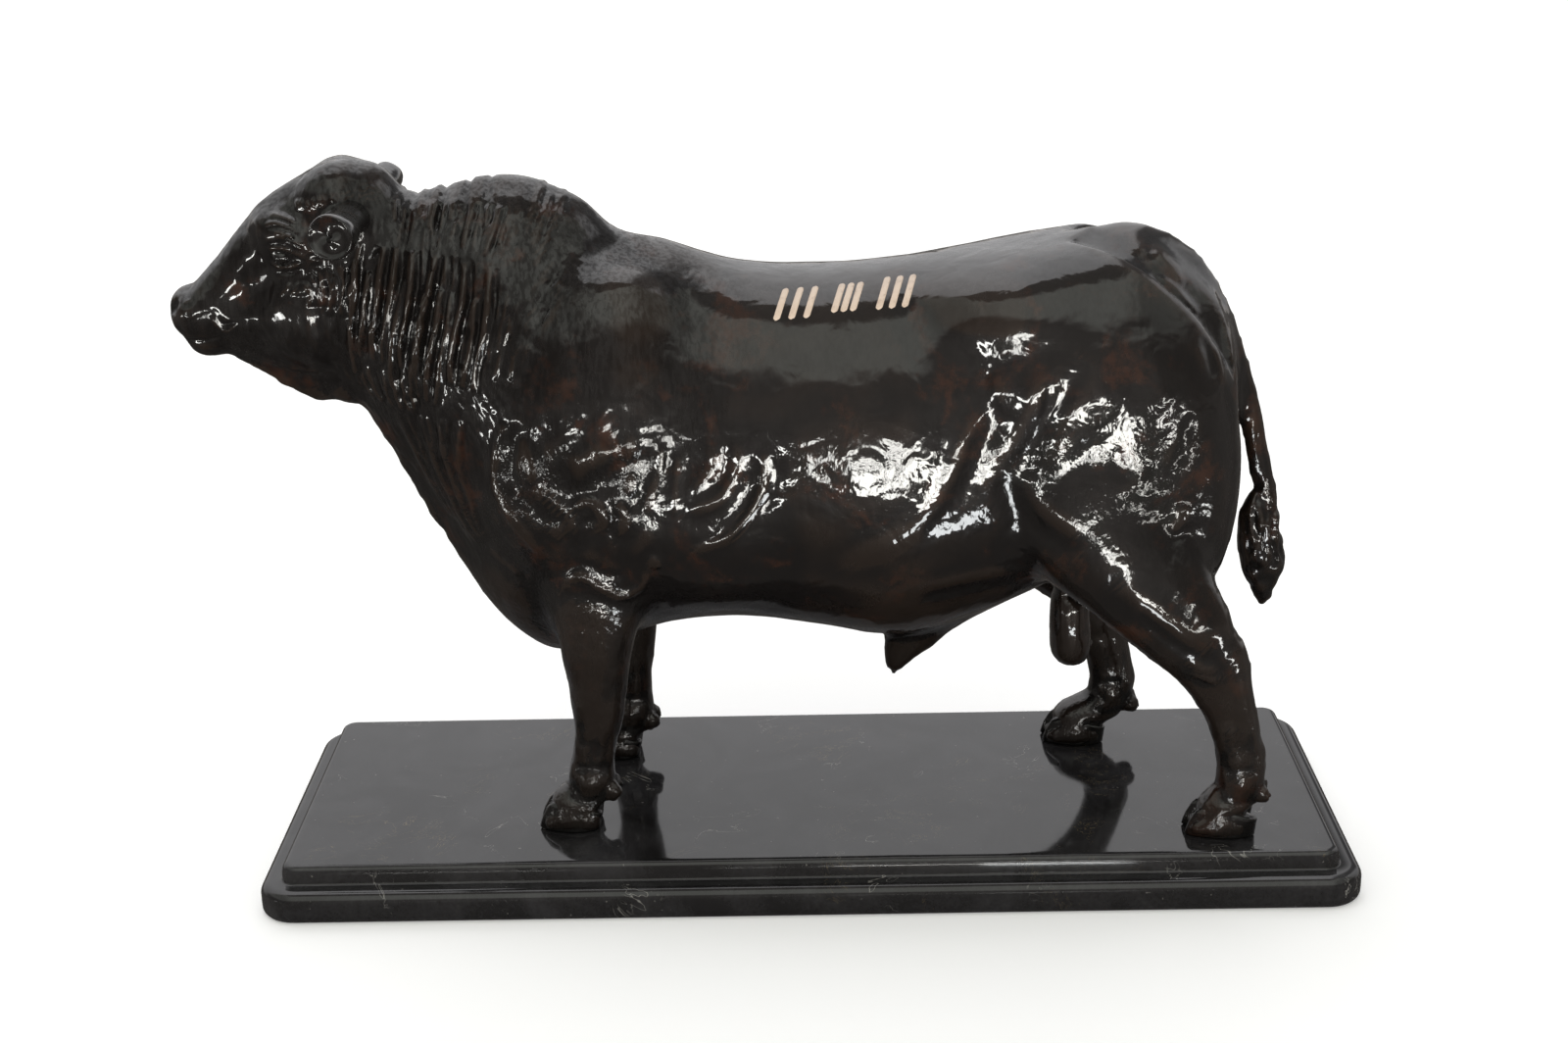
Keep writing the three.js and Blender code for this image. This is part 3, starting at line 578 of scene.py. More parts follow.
class Shader(NodeTree):
    """The node tree of one material."""

    def __init__(self, name: str) -> None:
        """Makes an empty material of that name."""
        self.material = bpy.data.materials.new(name)
        super().__init__(self.material, "Object")

    def finish(self, **inputs: object) -> bpy.types.Material:
        """Closes the tree with a Principled shader.

        Args:
            inputs: Its sockets, with an underscore for each space.

        Returns:
            The material.
        """
        sockets = {name.replace("_", " "): value for name, value in inputs.items()}
        shader = self.node("ShaderNodeBsdfPrincipled", {}, sockets)
        self.node("ShaderNodeOutputMaterial", {}, {"Surface": shader.outputs[0]})
        return self.material


@dataclass(frozen=True)
class LacqueredBronze:
    """Dark brown-black patina on bronze under a thick clear lacquer.

    The numbers from cloud to patch are the widths of each pattern's swells.
    """

    dark: Triple = (0.0064, 0.0054, 0.0051)
    warm: Triple = (0.024, 0.0100, 0.0060)
    rubbed: Triple = (0.030, 0.019, 0.013)
    cloud: float = 34.0
    spot: float = 5.0
    wave: float = 20.0
    strand: float = 4.5
    streak: float = 1.7
    dab: float = 6.0
    grain: float = 2.8
    pit: float = 0.9
    brush: float = 2.1
    patch: float = 26.0
    lacquer_roughness: float = 0.055

    def material(self) -> bpy.types.Material:
        """Builds the material.

        Returns:
            The material. It reads the attributes "coarse", how rough the modelling is, "height", how far a
            place stands proud, and "brushed", how streaked the lacquer is.
        """
        shader = Shader("lacquered_bronze")
        coarse = shader.attribute("coarse")
        height = shader.attribute("height")
        cloud = shader.noise(self.cloud, 4, 0.55, 0.6)
        spot = shader.noise(self.spot, 3, 0.6)
        warmth = (cloud * 0.75 + spot * 0.25).eased(0.53, 0.68)
        colour = shader.blend(warmth, self.dark, self.warm)
        colour = shader.blend(height.eased(0.55, 0.95) * 0.35, colour, self.rubbed)
        upright = shader.stretched((1.0, 1.0, 0.2))
        streaks = shader.noise(self.streak, 3, 0.55, 0.3, upright)
        strands = shader.noise(self.strand, 2, 0.5, 0.6, upright)
        dabs = shader.noise(self.dab, 2, 0.5, 0.9, shader.stretched((1.0, 1.0, 0.6)))
        waves = shader.noise(self.wave, 2, 0.5, 0.5)
        broad = shader.bump(waves * 1.5 + strands * coarse * 0.18, 0.6)
        grain = shader.noise(self.grain, 2, 0.6, 0.6, shader.stretched((1.0, 1.0, 0.7)))
        grain = grain * (coarse - 0.6).most(0.0)
        middle = shader.bump(dabs * coarse * 0.8 + streaks * coarse * 0.1 + grain * 1.8, 0.3, broad)
        pits = shader.noise(self.pit, 1, 0.5).eased(0.7, 0.8) * 0.4
        normal = shader.bump(pits * coarse + shader.noise(6, 1) * 0.3, 0.05, middle)
        brushed = shader.attribute("brushed")
        brush = shader.noise(self.brush, 3, 0.6, 0.4, shader.stretched((1.0, 1.0, 0.11)))
        patch = shader.noise(self.patch, 3, 0.6, 0.8, shader.stretched((1.0, 1.0, 0.5)))
        lacquer = 1.0 - brushed * (brush.eased(0.42, 0.6) * 0.4 + patch.eased(0.4, 0.6) * 0.35)
        return shader.finish(
            Base_Color=colour,
            Metallic=0.25,
            Roughness=spot * 0.2 + 0.24,
            Specular_IOR_Level=0.05,
            Coat_Weight=lacquer,
            Coat_Roughness=self.lacquer_roughness,
            Coat_IOR=1.5,
            Normal=normal,
            Coat_Normal=normal,
        )


@dataclass(frozen=True)
class PolishedMarble:
    """Near-black marble with sparse pale veins, cut and polished."""

    dark: Triple = (0.010, 0.0095, 0.010)
    grey: Triple = (0.030, 0.029, 0.031)
    vein: Triple = (0.30, 0.29, 0.27)
    amber: Triple = (0.22, 0.17, 0.09)

    def material(self) -> bpy.types.Material:
        """Builds the material."""
        shader = Shader("polished_marble")
        cloud = shader.noise(60, 5, 0.6, 1.5)
        fine = shader.noise(2.2, 3, 0.7)
        colour = shader.blend((cloud * 0.8 + fine * 0.3).eased(0.4, 0.75), self.dark, self.grey)
        bend = shader.noise(45, 4, 0.65, 0.8)
        vein = bend.crossing(0.006) * shader.noise(38, 2, 0.5).eased(0.56, 0.7)
        colour = shader.blend(vein * 0.8, colour, self.vein)
        second = shader.noise(70, 5, 0.7, 1.4, shader.stretched((1, 1.6, 1), (0, 0, 0.7)))
        amber = second.crossing(0.004) * shader.noise(52, 2).eased(0.55, 0.66)
        colour = shader.blend(amber * 0.5, colour, self.amber)
        specks = shader.noise(3.2, 1, 0.5).eased(0.76, 0.84)
        colour = shader.blend(specks * 0.5, colour, self.vein)
        return shader.finish(
            Base_Color=colour,
            Roughness=fine * 0.05 + 0.05,
            Specular_IOR_Level=0.5,
            IOR=1.5,
            Normal=shader.bump(shader.noise(14, 2), 0.05, strength=0.25),
        )


@dataclass(frozen=True)
class CreamPaint:
    """Worn cream paint."""

    cream: Triple = (0.60, 0.47, 0.37)
    worn: Triple = (0.30, 0.20, 0.14)

    def material(self) -> bpy.types.Material:
        """Builds the material."""
        shader = Shader("cream_paint")
        wear = (shader.noise(3.5, 3, 0.6) * 0.7 + shader.noise(1.0, 2) * 0.3).eased(0.5, 0.72)
        return shader.finish(
            Base_Color=shader.blend(wear * 0.6, self.cream, self.worn),
            Roughness=0.45,
            Coat_Weight=0.5,
            Coat_Roughness=0.15,
            Normal=shader.bump(shader.noise(1.4, 2), 0.08, strength=0.6),
        )


@dataclass(frozen=True)
class PalePlaster:
    """The plain pale floor of a studio."""

    colour: Triple = (0.92, 0.92, 0.92)

    def material(self) -> bpy.types.Material:
        """Builds the material."""
        white = (1.0, 1.0, 1.0, 1.0)
        return Shader("pale_floor").finish(
            Base_Color=(*self.colour, 1.0), Roughness=0.9, Emission_Color=white, Emission_Strength=0.24
        )


def put(name: str, data: bpy.types.ID) -> bpy.types.Object:
    """Puts a mesh, light or camera into the scene as a new object.

    Args:
        name: The object's name.
        data: The mesh, light or camera.

    Returns:
        The object.
    """
    made = bpy.data.objects.new(name, data)
    bpy.context.scene.collection.objects.link(made)
    return made


def add_piece(
    name: str, mesh: bpy.types.Mesh, material: bpy.types.Material, coarse: float = 0.5
) -> bpy.types.Object:
    """Puts a mesh into the scene as a piece of the object.

    Args:
        name: The piece's name.
        mesh: Its mesh, in place.
        material: Its finish.
        coarse: How rough its modelling is, where the mesh doesn't say.

    Returns:
        The object.
    """
    for layer, value in (("coarse", coarse), ("height", 0.5), ("brushed", 0.3)):
        if layer not in mesh.attributes:
            made = mesh.attributes.new(layer, "FLOAT", "POINT")
            made.data.foreach_set("value", np.full(len(mesh.vertices), value, np.float32))
    mesh.materials.clear()
    mesh.materials.append(material)
    mesh.name = name
    piece = put(name, mesh)
    for polygon in mesh.polygons:
        polygon.use_smooth = True
    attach(piece, BODY)
    LOG.info("%s: %d faces", name, len(mesh.polygons))
    return piece


def to_mesh(shape: bmesh.types.BMesh, name: str) -> bpy.types.Mesh:
    """Turns a bmesh into a mesh and frees it.

    Args:
        shape: The bmesh.
        name: The mesh's name.

    Returns:
        The mesh.
    """
    mesh = bpy.data.meshes.new(name)
    shape.to_mesh(mesh)
    shape.free()
    return mesh


def loft(sections: Sequence[Section]) -> bmesh.types.BMesh:
    """Extrudes a ring of edges from section to section and closes both ends.

    Args:
        sections: Rings of points in millimetres, all with the same count.

    Returns:
        The closed shape, in metres.
    """
    shape = bmesh.new()
    bmesh.ops.create_circle(shape, cap_ends=False, segments=len(sections[0]), radius=1.0)
    ring = shape.edges[:]
    place = {vert: i for i, vert in enumerate(shape.verts)}
    for vert, i in place.items():
        vert.co = sections[0][i]
    bmesh.ops.edgeloop_fill(shape, edges=ring)
    for section in sections[1:]:
        made = bmesh.ops.extrude_edge_only(shape, edges=ring)["geom"]
        ring = [item for item in made if isinstance(item, bmesh.types.BMEdge)]
        below = place
        place = {}
        for vert in (item for item in made if isinstance(item, bmesh.types.BMVert)):
            others = (edge.other_vert(vert) for edge in vert.link_edges)
            place[vert] = next(below[other] for other in others if other in below)
        for vert, i in place.items():
            vert.co = section[i]
    bmesh.ops.edgeloop_fill(shape, edges=ring)
    bmesh.ops.recalc_face_normals(shape, faces=shape.faces)
    bmesh.ops.scale(shape, verts=shape.verts, vec=(MM, MM, MM))
    return shape


def joined(shapes: Iterable[bmesh.types.BMesh], name: str) -> bpy.types.Mesh:
    """Puts several closed shapes into one mesh and frees them.

    Args:
        shapes: The shapes.
        name: The mesh's name.

    Returns:
        The mesh.
    """
    whole = bmesh.new()
    for shape in shapes:
        part = to_mesh(shape, "part")
        whole.from_mesh(part)
        bpy.data.meshes.remove(part)
    return to_mesh(whole, name)


def ring(count: int, place: Callable[[float], Triple]) -> Section:
    """Goes round in even turns, with each point from a function of its angle."""
    return [place(2.0 * math.pi * step / count) for step in range(count)]


def tree_of(mesh: bpy.types.Mesh) -> BVHTree:
    """A tree to look places up on a mesh."""
    corners = [vertex.co.copy() for vertex in mesh.vertices]
    return BVHTree.FromPolygons(corners, [tuple(polygon.vertices) for polygon in mesh.polygons])


@dataclass(frozen=True)
class Region:
    """A box, as the limits of x, y and z, with z above the soles."""

    x: tuple[float, float] = (-math.inf, math.inf)
    y: tuple[float, float] = (-math.inf, math.inf)
    z: tuple[float, float] = (-math.inf, math.inf)

    def holds(self, place: Sequence[float]) -> bool:
        """Whether a place lies in the box."""
        return all(low < value < high for value, (low, high) in zip(place, (self.x, self.y, self.z)))


# Where the modelling is close: feet, tail, neck and head, rump, elbow and ribs, forearm, flank, thigh
CLOSE = (
    Region(z=(-math.inf, 62.0)),
    Region(x=(240.0, math.inf)),
    Region(x=(-math.inf, -112.0), y=(-math.inf, 12.0), z=(150.0, math.inf)),
    Region(x=(-math.inf, -112.0), z=(212.0, math.inf)),
    Region(x=(150.0, math.inf), z=(266.0, math.inf)),
    Region(x=(-112.0, -8.0), y=(-math.inf, 0.0), z=(128.0, 234.0)),
    Region(x=(-112.0, -96.0), y=(-math.inf, 0.0), z=(60.0, math.inf)),
    Region(x=(62.0, math.inf), y=(-math.inf, 0.0), z=(176.0, 280.0)),
    Region(x=(114.0, math.inf), y=(-math.inf, 0.0), z=(90.0, math.inf)),
)

# Where it is closest: the near side of the face, the near side of the neck, and the switch of the tail
CLOSEST = (
    Region(x=(-math.inf, -240.0), y=(-math.inf, 14.0), z=(258.0, math.inf)),
    Region(x=(-240.0, -150.0), y=(-math.inf, -16.0), z=(222.0, 346.0)),
    Region(x=(246.0, math.inf), y=(-math.inf, 30.0), z=(100.0, 200.0)),
)

# Where the solid's ears stand out from the head, with y as the distance from the middle
EARS = Region(x=(-258.0, -208.0), y=(38.0, math.inf), z=(312.0, math.inf))


@dataclass(frozen=True)
class Leg:
    """One leg below the knee or hock: the middle line of its shin, and its hoof."""

    name: str
    side: Side
    y: float
    shin: Line
    toe: float
    claw: float = 34.0
    fetlock: float = 27.0

    def marks(self) -> tuple[Stroke, ...]:
        """Sinews down the shin, and knobs at the fetlock.

        Returns:
            The ridges and grooves.
        """
        front = [(x - 8.5, z) for x, z in self.shin]
        back = [(x + 8.5, z) for x, z in self.shin]
        sinew = Stroke((), 1.9, 0.9, side=self.side, beyond=12.0)

        def mark(width: float, height: float, *steps: tuple[float, float]) -> Stroke:
            """A mark whose line is given by steps from the fetlock."""
            line = [(self.shin[-1][0] + along, self.fetlock + up) for along, up in steps]
            return replace(sinew, width=width, height=height, line=line)

        knob = mark(3.2, 1.3, (-3, 4), (0, 1), (3, 3))
        crease = mark(1.8, -1.0, (-14, -7), (-4, -9), (6, -8))
        above = mark(1.8, -1.0, (-10, 9), (0, 11), (8, 10))
        fold = mark(2.0, 1.0, (-15, -11), (-4, -13), (8, -12))
        fan = Fan(front, back, 5, sinew, groove=0.8, ragged=0.25, wander=0.5, seed=int(self.toe) % 97)
        return (*fan.marks(), knob, crease, above, fold)


LEGS = (
    Leg("near_fore", Side.NEAR, -48.0, ((-114, 88), (-117, 54), (-120, 34)), -150.0),
    Leg("far_fore", Side.FAR, 46.0, ((-103, 88), (-103.5, 54), (-104, 34)), -134.0),
    Leg("near_hind", Side.NEAR, -68.0, ((222, 90), (230, 68), (236, 40)), 206.0, 38.0, 29.0),
    Leg("far_hind", Side.FAR, 56.0, ((167, 90), (175, 68), (181, 40)), 140.0, 36.0, 29.0),
)


@dataclass
class BullCasting:
    """The animal's skin: one closed casting, resurfaced from the solid and then worked."""

    voxel: float = 4.5
    evening_rounds: int = 24
    settling_rounds: int = 4
    tip_rounds: int = 5
    last_rounds: int = 3
    fold_centre: tuple[float, float] = (-22.0, 307.0)
    fold_pitch: float = 4.3
    fold_height: float = 0.45

    def build(self, node: bpy.types.Object, material: bpy.types.Material) -> bpy.types.Object:
        """Makes the skin.

        Args:
            node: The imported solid.
            material: The bronze.

        Returns:
            The piece, which stands for the solid.
        """
        solid = self._without_ears(node.data)
        squares = self._resurfaced(solid)
        self._even_out(squares)
        finer = self._refined(squares, CLOSE)
        self._return_to_solid(finer, solid)
        skin = self._refined(finer, CLOSEST)
        surface = Surface(skin)
        ends = np.maximum(fade(surface.x, -150.0, -140.0), smoothstep(surface.x, 240.0, 248.0))
        surface.smooth(ends, self.last_rounds)
        self._model(surface)
        self._mark(surface)
        surface.store()
        LOG.info("bull_casting: %d triangles", len(surface.triangles))
        piece = add_piece("bull_casting", skin, material)
        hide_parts("bronze_bull")
        return piece

    @staticmethod
    def _without_ears(mesh: bpy.types.Mesh) -> bpy.types.Mesh:
        """A copy of the solid's mesh, its corners joined and its ears closed off at the head.

        Args:
            mesh: The solid's mesh.

        Returns:
            The copy.
        """
        shape = bmesh.new()
        shape.from_mesh(mesh)
        bmesh.ops.remove_doubles(shape, verts=shape.verts, dist=1e-6)
        ears = []
        for vert in shape.verts:
            x, y, z = vert.co / MM
            if EARS.holds((x, abs(y), z - SOLE)):
                ears.append(vert)
        bmesh.ops.delete(shape, geom=ears, context="VERTS")
        bmesh.ops.holes_fill(shape, edges=[edge for edge in shape.edges if edge.is_boundary], sides=0)
        bmesh.ops.triangulate(shape, faces=[face for face in shape.faces if len(face.verts) > 4])
        return to_mesh(shape, "solid_copy")

    def _resurfaced(self, solid: bpy.types.Mesh) -> bpy.types.Mesh:
        """Covers the solid with even squares.

        Args:
            solid: The solid's mesh.

        Returns:
            The squares.
        """
        holder = put("holder", solid)
        remesh = holder.modifiers.new("squares", "REMESH")
        remesh.mode = "VOXEL"
        remesh.voxel_size = self.voxel * MM
        graph = bpy.context.evaluated_depsgraph_get()
        mesh = bpy.data.meshes.new_from_object(holder.evaluated_get(graph))
        bpy.data.objects.remove(holder)
        return mesh

    @staticmethod
    def _refined(mesh: bpy.types.Mesh, regions: Sequence[Region]) -> bpy.types.Mesh:
        """Halves the squares where the modelling is close.

        Args:
            mesh: The skin so far.
            regions: The boxes whose faces are halved.

        Returns:
            The finer skin.
        """
        shape = bmesh.new()
        shape.from_mesh(mesh)
        faces = []
        for face in shape.faces:
            x, y, z = face.calc_center_median() / MM
            if any(region.holds((x, y, z - SOLE)) for region in regions):
                faces.append(face)
        edges = list({edge for face in faces for edge in face.edges})
        bmesh.ops.subdivide_edges(shape, edges=edges, cuts=1, use_grid_fill=True)
        return to_mesh(shape, "bull_casting")

    @staticmethod
    def _close_parts(surface: Surface) -> np.ndarray:
        """The share, 0 to 1, by which each vertex belongs to the head, the feet, the sheath or the tail.

        Args:
            surface: The skin.

        Returns:
            One share for each vertex.
        """
        x, z = surface.x, surface.z
        head = fade(x, -244.0, -226.0) * smoothstep(z, 215.0, 240.0)
        foot = fade(z, 50.0, 84.0)
        tail = smoothstep(x, 239.0, 249.0) * smoothstep(z, 95.0, 110.0)
        tip = smoothstep(x, 20.0, 34.0) * fade(x, 70.0, 90.0) * fade(z, 96.0, 116.0)
        return np.clip(head + foot + tail + tip, 0.0, 1.0)

    def _even_out(self, mesh: bpy.types.Mesh) -> None:
        """Takes out the solid's facets, and its coarse folds, without losing the large forms.

        Args:
            mesh: The skin.
        """
        surface = Surface(mesh)
        surface.smooth(1.0 - self._close_parts(surface), self.evening_rounds)
        surface.smooth(np.full(len(surface.points), 0.7), self.last_rounds)
        surface.store()

    def _return_to_solid(self, mesh: bpy.types.Mesh, solid: bpy.types.Mesh) -> None:
        """Sets the head, feet and tail back on the solid, which the squares have rounded off.

        Args:
            mesh: The skin.
            solid: The solid's mesh.
        """
        surface = Surface(mesh)
        tree = tree_of(solid)
        share = self._close_parts(surface)
        for i in np.nonzero(share > 0.02)[0]:
            place = tree.find_nearest(Vector(surface.points[i] * MM))[0]
            if place is not None:
                surface.points[i] += (np.array(place) / MM - surface.points[i]) * share[i]
        surface.smooth(np.ones(len(surface.points)), self.settling_rounds)
        tip = smoothstep(surface.x, 34.0, 42.0) * fade(surface.x, 62.0, 72.0) * fade(surface.z, 74.0, 86.0)
        surface.smooth(tip, self.tip_rounds, back=0.0)
        surface.store()

    def _folds(self, surface: Surface) -> np.ndarray:
        """Fine slack skin between the larger ropes of the neck and cheek.

        Args:
            surface: The skin.

        Returns:
            The height of the skin at each vertex.
        """
        x, y, z = surface.x, surface.y, surface.z
        r = np.hypot(x - self.fold_centre[0], z - self.fold_centre[1])
        places = np.column_stack([x, y * 0.3, z])
        wander = 0.5 * ripple(places, 22.0, 1) + 0.25 * ripple(places, 9.0, 2)
        rope = np.abs(np.sin(np.pi * (r / self.fold_pitch + wander))) ** 0.7 - 0.6
        neck = smoothstep(r, 132.0, 160.0) * fade(r, 226.0, 246.0) * smoothstep(z, 150.0, 215.0)
        neck *= smoothstep(x, -250.0, -238.0) * fade(x, -110.0, -90.0)
        neck *= fade(surface.spacing(), 1.4, 2.2)
        swell = 0.5 + 0.6 * ripple(places, 30.0, 3)
        return rope * neck * np.clip(swell, 0.0, 1.2) * self.fold_height

    def _model(self, surface: Surface) -> None:
        """Works the muscles, folds and wrinkles into the skin.

        Args:
            surface: The skin.
        """
        surface.push(self._folds(surface))
        tool(surface, (*THROAT, *SHOULDER, *FLANK, *RUMP))
        tool(surface, (*NECK, *CREST, *LEGS, *TAIL))
        tool(surface, (*CHEEK, *BROW, *MUZZLE))
        x, z = surface.x, surface.z
        rough = np.clip(0.1 + 0.4 * fade(x, -140.0, -95.0) + 0.8 * fade(z, 60.0, 110.0), 0.0, 1.0)
        switch = smoothstep(x, 244.0, 250.0) * fade(z, 172.0, 186.0)
        places = surface.points
        lumps = 0.16 * ripple(places * np.array([1.0, 1.0, 0.5]), 4.5, 4) * rough
        lumps += 0.10 * ripple(places, 14.0, 5) * (0.4 + rough) + 0.8 * ripple(places, 7.0, 6) * switch
        keel = fade(np.abs(surface.y), 6.0, 18.0) * fade(x, -170.0, -150.0) * smoothstep(z, 130.0, 160.0)
        lumps += 1.1 * ripple(places, 10.0, 7) * keel * fade(z, 244.0, 256.0)
        shoulder = smoothstep(x, -172.0, -158.0) * fade(x, -84.0, -66.0) * fade(surface.y, -40.0, -20.0)
        shoulder *= smoothstep(z, 158.0, 172.0) * fade(z, 226.0, 240.0)
        lumps += 0.7 * ripple(places * np.array([1.0, 1.0, 0.8]), 11.0, 8) * shoulder
        surface.push(lumps)

    @staticmethod
    def _mark(surface: Surface) -> None:
        """Stores how rough the modelling is, and which places stand proud.

        Args:
            surface: The skin.
        """
        x, z = surface.x, surface.z
        crest = fade(x, -128.0, -96.0) * fade(z, 318.0, 345.0)
        elbow = fade(x, -92.0, -62.0) * smoothstep(x, -175.0, -155.0) * fade(z, 214.0, 244.0)
        barrel = smoothstep(x, -92.0, -62.0) * fade(z, 214.0, 250.0) * smoothstep(z, 150.0, 170.0)
        thigh = smoothstep(x, 80.0, 110.0) * fade(z, 262.0, 292.0)
        coarse = 0.3 + 0.1 * crest + 0.8 * elbow + 0.3 * barrel + 0.2 * thigh
        coarse += 0.6 * fade(z, 50.0, 80.0) - 0.3 * fade(x, -262.0, -252.0)
        away = np.einsum("ij,ij->i", surface.points - surface.average(surface.points), surface.normals())
        for _ in range(2):
            away = surface.average(away)
        brushed = 0.2 + 0.8 * fade(x, -90.0, -10.0) * smoothstep(z, 180.0, 220.0)
        layers = {"coarse": np.maximum(coarse, 0.08), "height": away * 6.0 + 0.5, "brushed": brushed}
        for name, values in layers.items():
            layer = surface.mesh.attributes.new(name, "FLOAT", "POINT")
            layer.data.foreach_set("value", np.clip(values, 0, 1.2).astype(np.float32))


# Ropes of loose skin from the crest and behind the ear down to the throat
NECK = (
    Fan(
        ((-226, 342), (-229, 318), (-234, 290), (-238, 264), (-234, 246)),
        ((-158, 334), (-162, 304), (-168, 274), (-174, 250), (-182, 224)),
        13, Stroke((), 2.3, 2.9), groove=2.0, ragged=0.25, wander=1.2, seed=4,
    ),
    Fan(
        ((-224, 338), (-229, 300), (-234, 268)),
        ((-154, 330), (-161, 290), (-172, 252)),
        12, Stroke((), 1.2, -1.3), ragged=0.4, wander=0.8, seed=9,
    ),
    Fan(
        ((-240, 268), (-238, 252), (-230, 240)),
        ((-204, 262), (-205, 246), (-203, 232)),
        7, Stroke((), 1.6, 1.3), groove=1.0, seed=5,
    ),
    Fan(
        ((-154, 330), (-159, 300), (-166, 262)),
        ((-132, 306), (-144, 272), (-158, 236)),
        7, Stroke((), 1.6, 1.0), groove=0.9, ragged=0.4, seed=6,
    ),
)

# Softer folds that hang from the throat to the brisket
THROAT = (
    Fan(
        ((-226, 250), (-213, 230), (-206, 208), (-196, 186), (-184, 162), (-174, 147)),
        ((-175, 250), (-182, 230), (-183, 208), (-178, 186), (-172, 170), (-162, 160)),
        7, Stroke((), 2.7, 1.7, lip=0.7), groove=1.3, ragged=0.15, wander=0.8, seed=3,
    ),
    Stroke(((-172, 163), (-165, 157), (-155, 149), (-152, 132), (-148, 118)), 2.2, 1.0),
    Stroke(((-154, 150), (-153, 136), (-145, 108)), 1.8, -1.0),
)

# Notches that cross the crest, and creases down the sides of the hump
CREST = (
    *(
        Stroke(((x + 1, 366), (x, 354), (x - 2, 340), (x - 4, 324)), 1.6, depth, wraps=True)
        for x, depth in ((-202, -2.4), (-186, -2.6), (-174, -2.4), (-162, -2.0))
    ),
    Fan(
        ((-210, 358), (-210, 344), (-212, 328)),
        ((-124, 354), (-130, 334), (-141, 308)),
        15, Stroke((), 1.7, 1.2, wraps=True), groove=1.7, ragged=0.35, seed=8,
    ),
    Fan(
        ((-117, 330), (-124, 318), (-133, 306), (-142, 292)),
        ((-124, 306), (-134, 292), (-143, 272)),
        5, Stroke((), 1.4, -1.6, lip=0.5), seed=2,
    ),
)

# The planes of the shoulder and elbow, and the flutes over the ribs
SHOULDER = (
    Stroke(((-155, 238), (-160, 224), (-162, 208), (-159, 194), (-150, 182), (-141, 168)), 2.8, 2.2),
    Stroke(((-149, 238), (-152, 222), (-153, 206), (-148, 194)), 3.6, -1.6),
    Stroke(((-146, 232), (-141, 218), (-142, 206)), 3.6, 1.6),
    Stroke(((-142, 205), (-134, 200), (-126, 193), (-121, 182), (-119, 169)), 1.8, 1.6, lip=0.6),
    Stroke(((-150, 200), (-141, 192), (-136, 184)), 5.0, -1.3),
    Stroke(((-135, 219), (-112, 222), (-84, 226)), 7.5, 1.0),
    Stroke(((-133, 206), (-112, 203), (-91, 207)), 7.5, -1.2),
    Stroke(((-131, 184), (-126, 177)), 5.2, 1.8),
    Stroke(((-121, 190), (-117, 196), (-109, 196), (-104, 189), (-105, 182)), 2.8, 1.6),
    Stroke(((-113, 188), (-111, 184)), 3.2, -1.6),
    Stroke(((-97, 196), (-93, 189), (-97, 178)), 3.2, 1.7),
    Stroke(((-101, 197), (-100, 188), (-101, 176)), 2.2, -1.4),
    Stroke(((-81, 214), (-84, 203), (-89, 190)), 3.6, -1.3),
    Stroke(((-72, 226), (-75, 210), (-82, 192)), 1.7, 1.2),
    Stroke(((-64, 222), (-66, 206), (-67, 188)), 2.2, 1.2),
    Stroke(((-47, 228), (-48, 212), (-60, 198)), 5.0, 0.9),
    Stroke(((-40, 225), (-42, 209), (-54, 198)), 3.0, -0.6),
    Stroke(((-33, 228), (-34, 211), (-44, 197), (-62, 190)), 5.0, 1.1),
    Stroke(((-26, 218), (-29, 201), (-40, 188), (-60, 181)), 6.0, -0.9),
    Stroke(((-20, 222), (-21, 203), (-29, 188), (-40, 176), (-60, 168)), 2.3, 1.8, lip=0.6),
    Stroke(((-12, 218), (-12, 204), (-20, 190)), 4.0, -0.9),
    Stroke(
        ((-142, 146), (-131, 142), (-121, 154), (-110, 148), (-97, 141), (-86, 148), (-83, 162)), 2.3, 2.0
    ),
    Stroke(((-137, 136), (-124, 143), (-112, 141), (-97, 134), (-85, 140)), 5.0, -0.7),
    Stroke(((-132, 155), (-116, 161), (-104, 155), (-92, 154)), 3.0, -1.2),
    Stroke(((-82, 165), (-79, 162), (-78, 158)), 2.4, 1.5),
    Stroke(((-95, 81), (-84, 109), (-74, 116)), 2.0, -0.9),
)

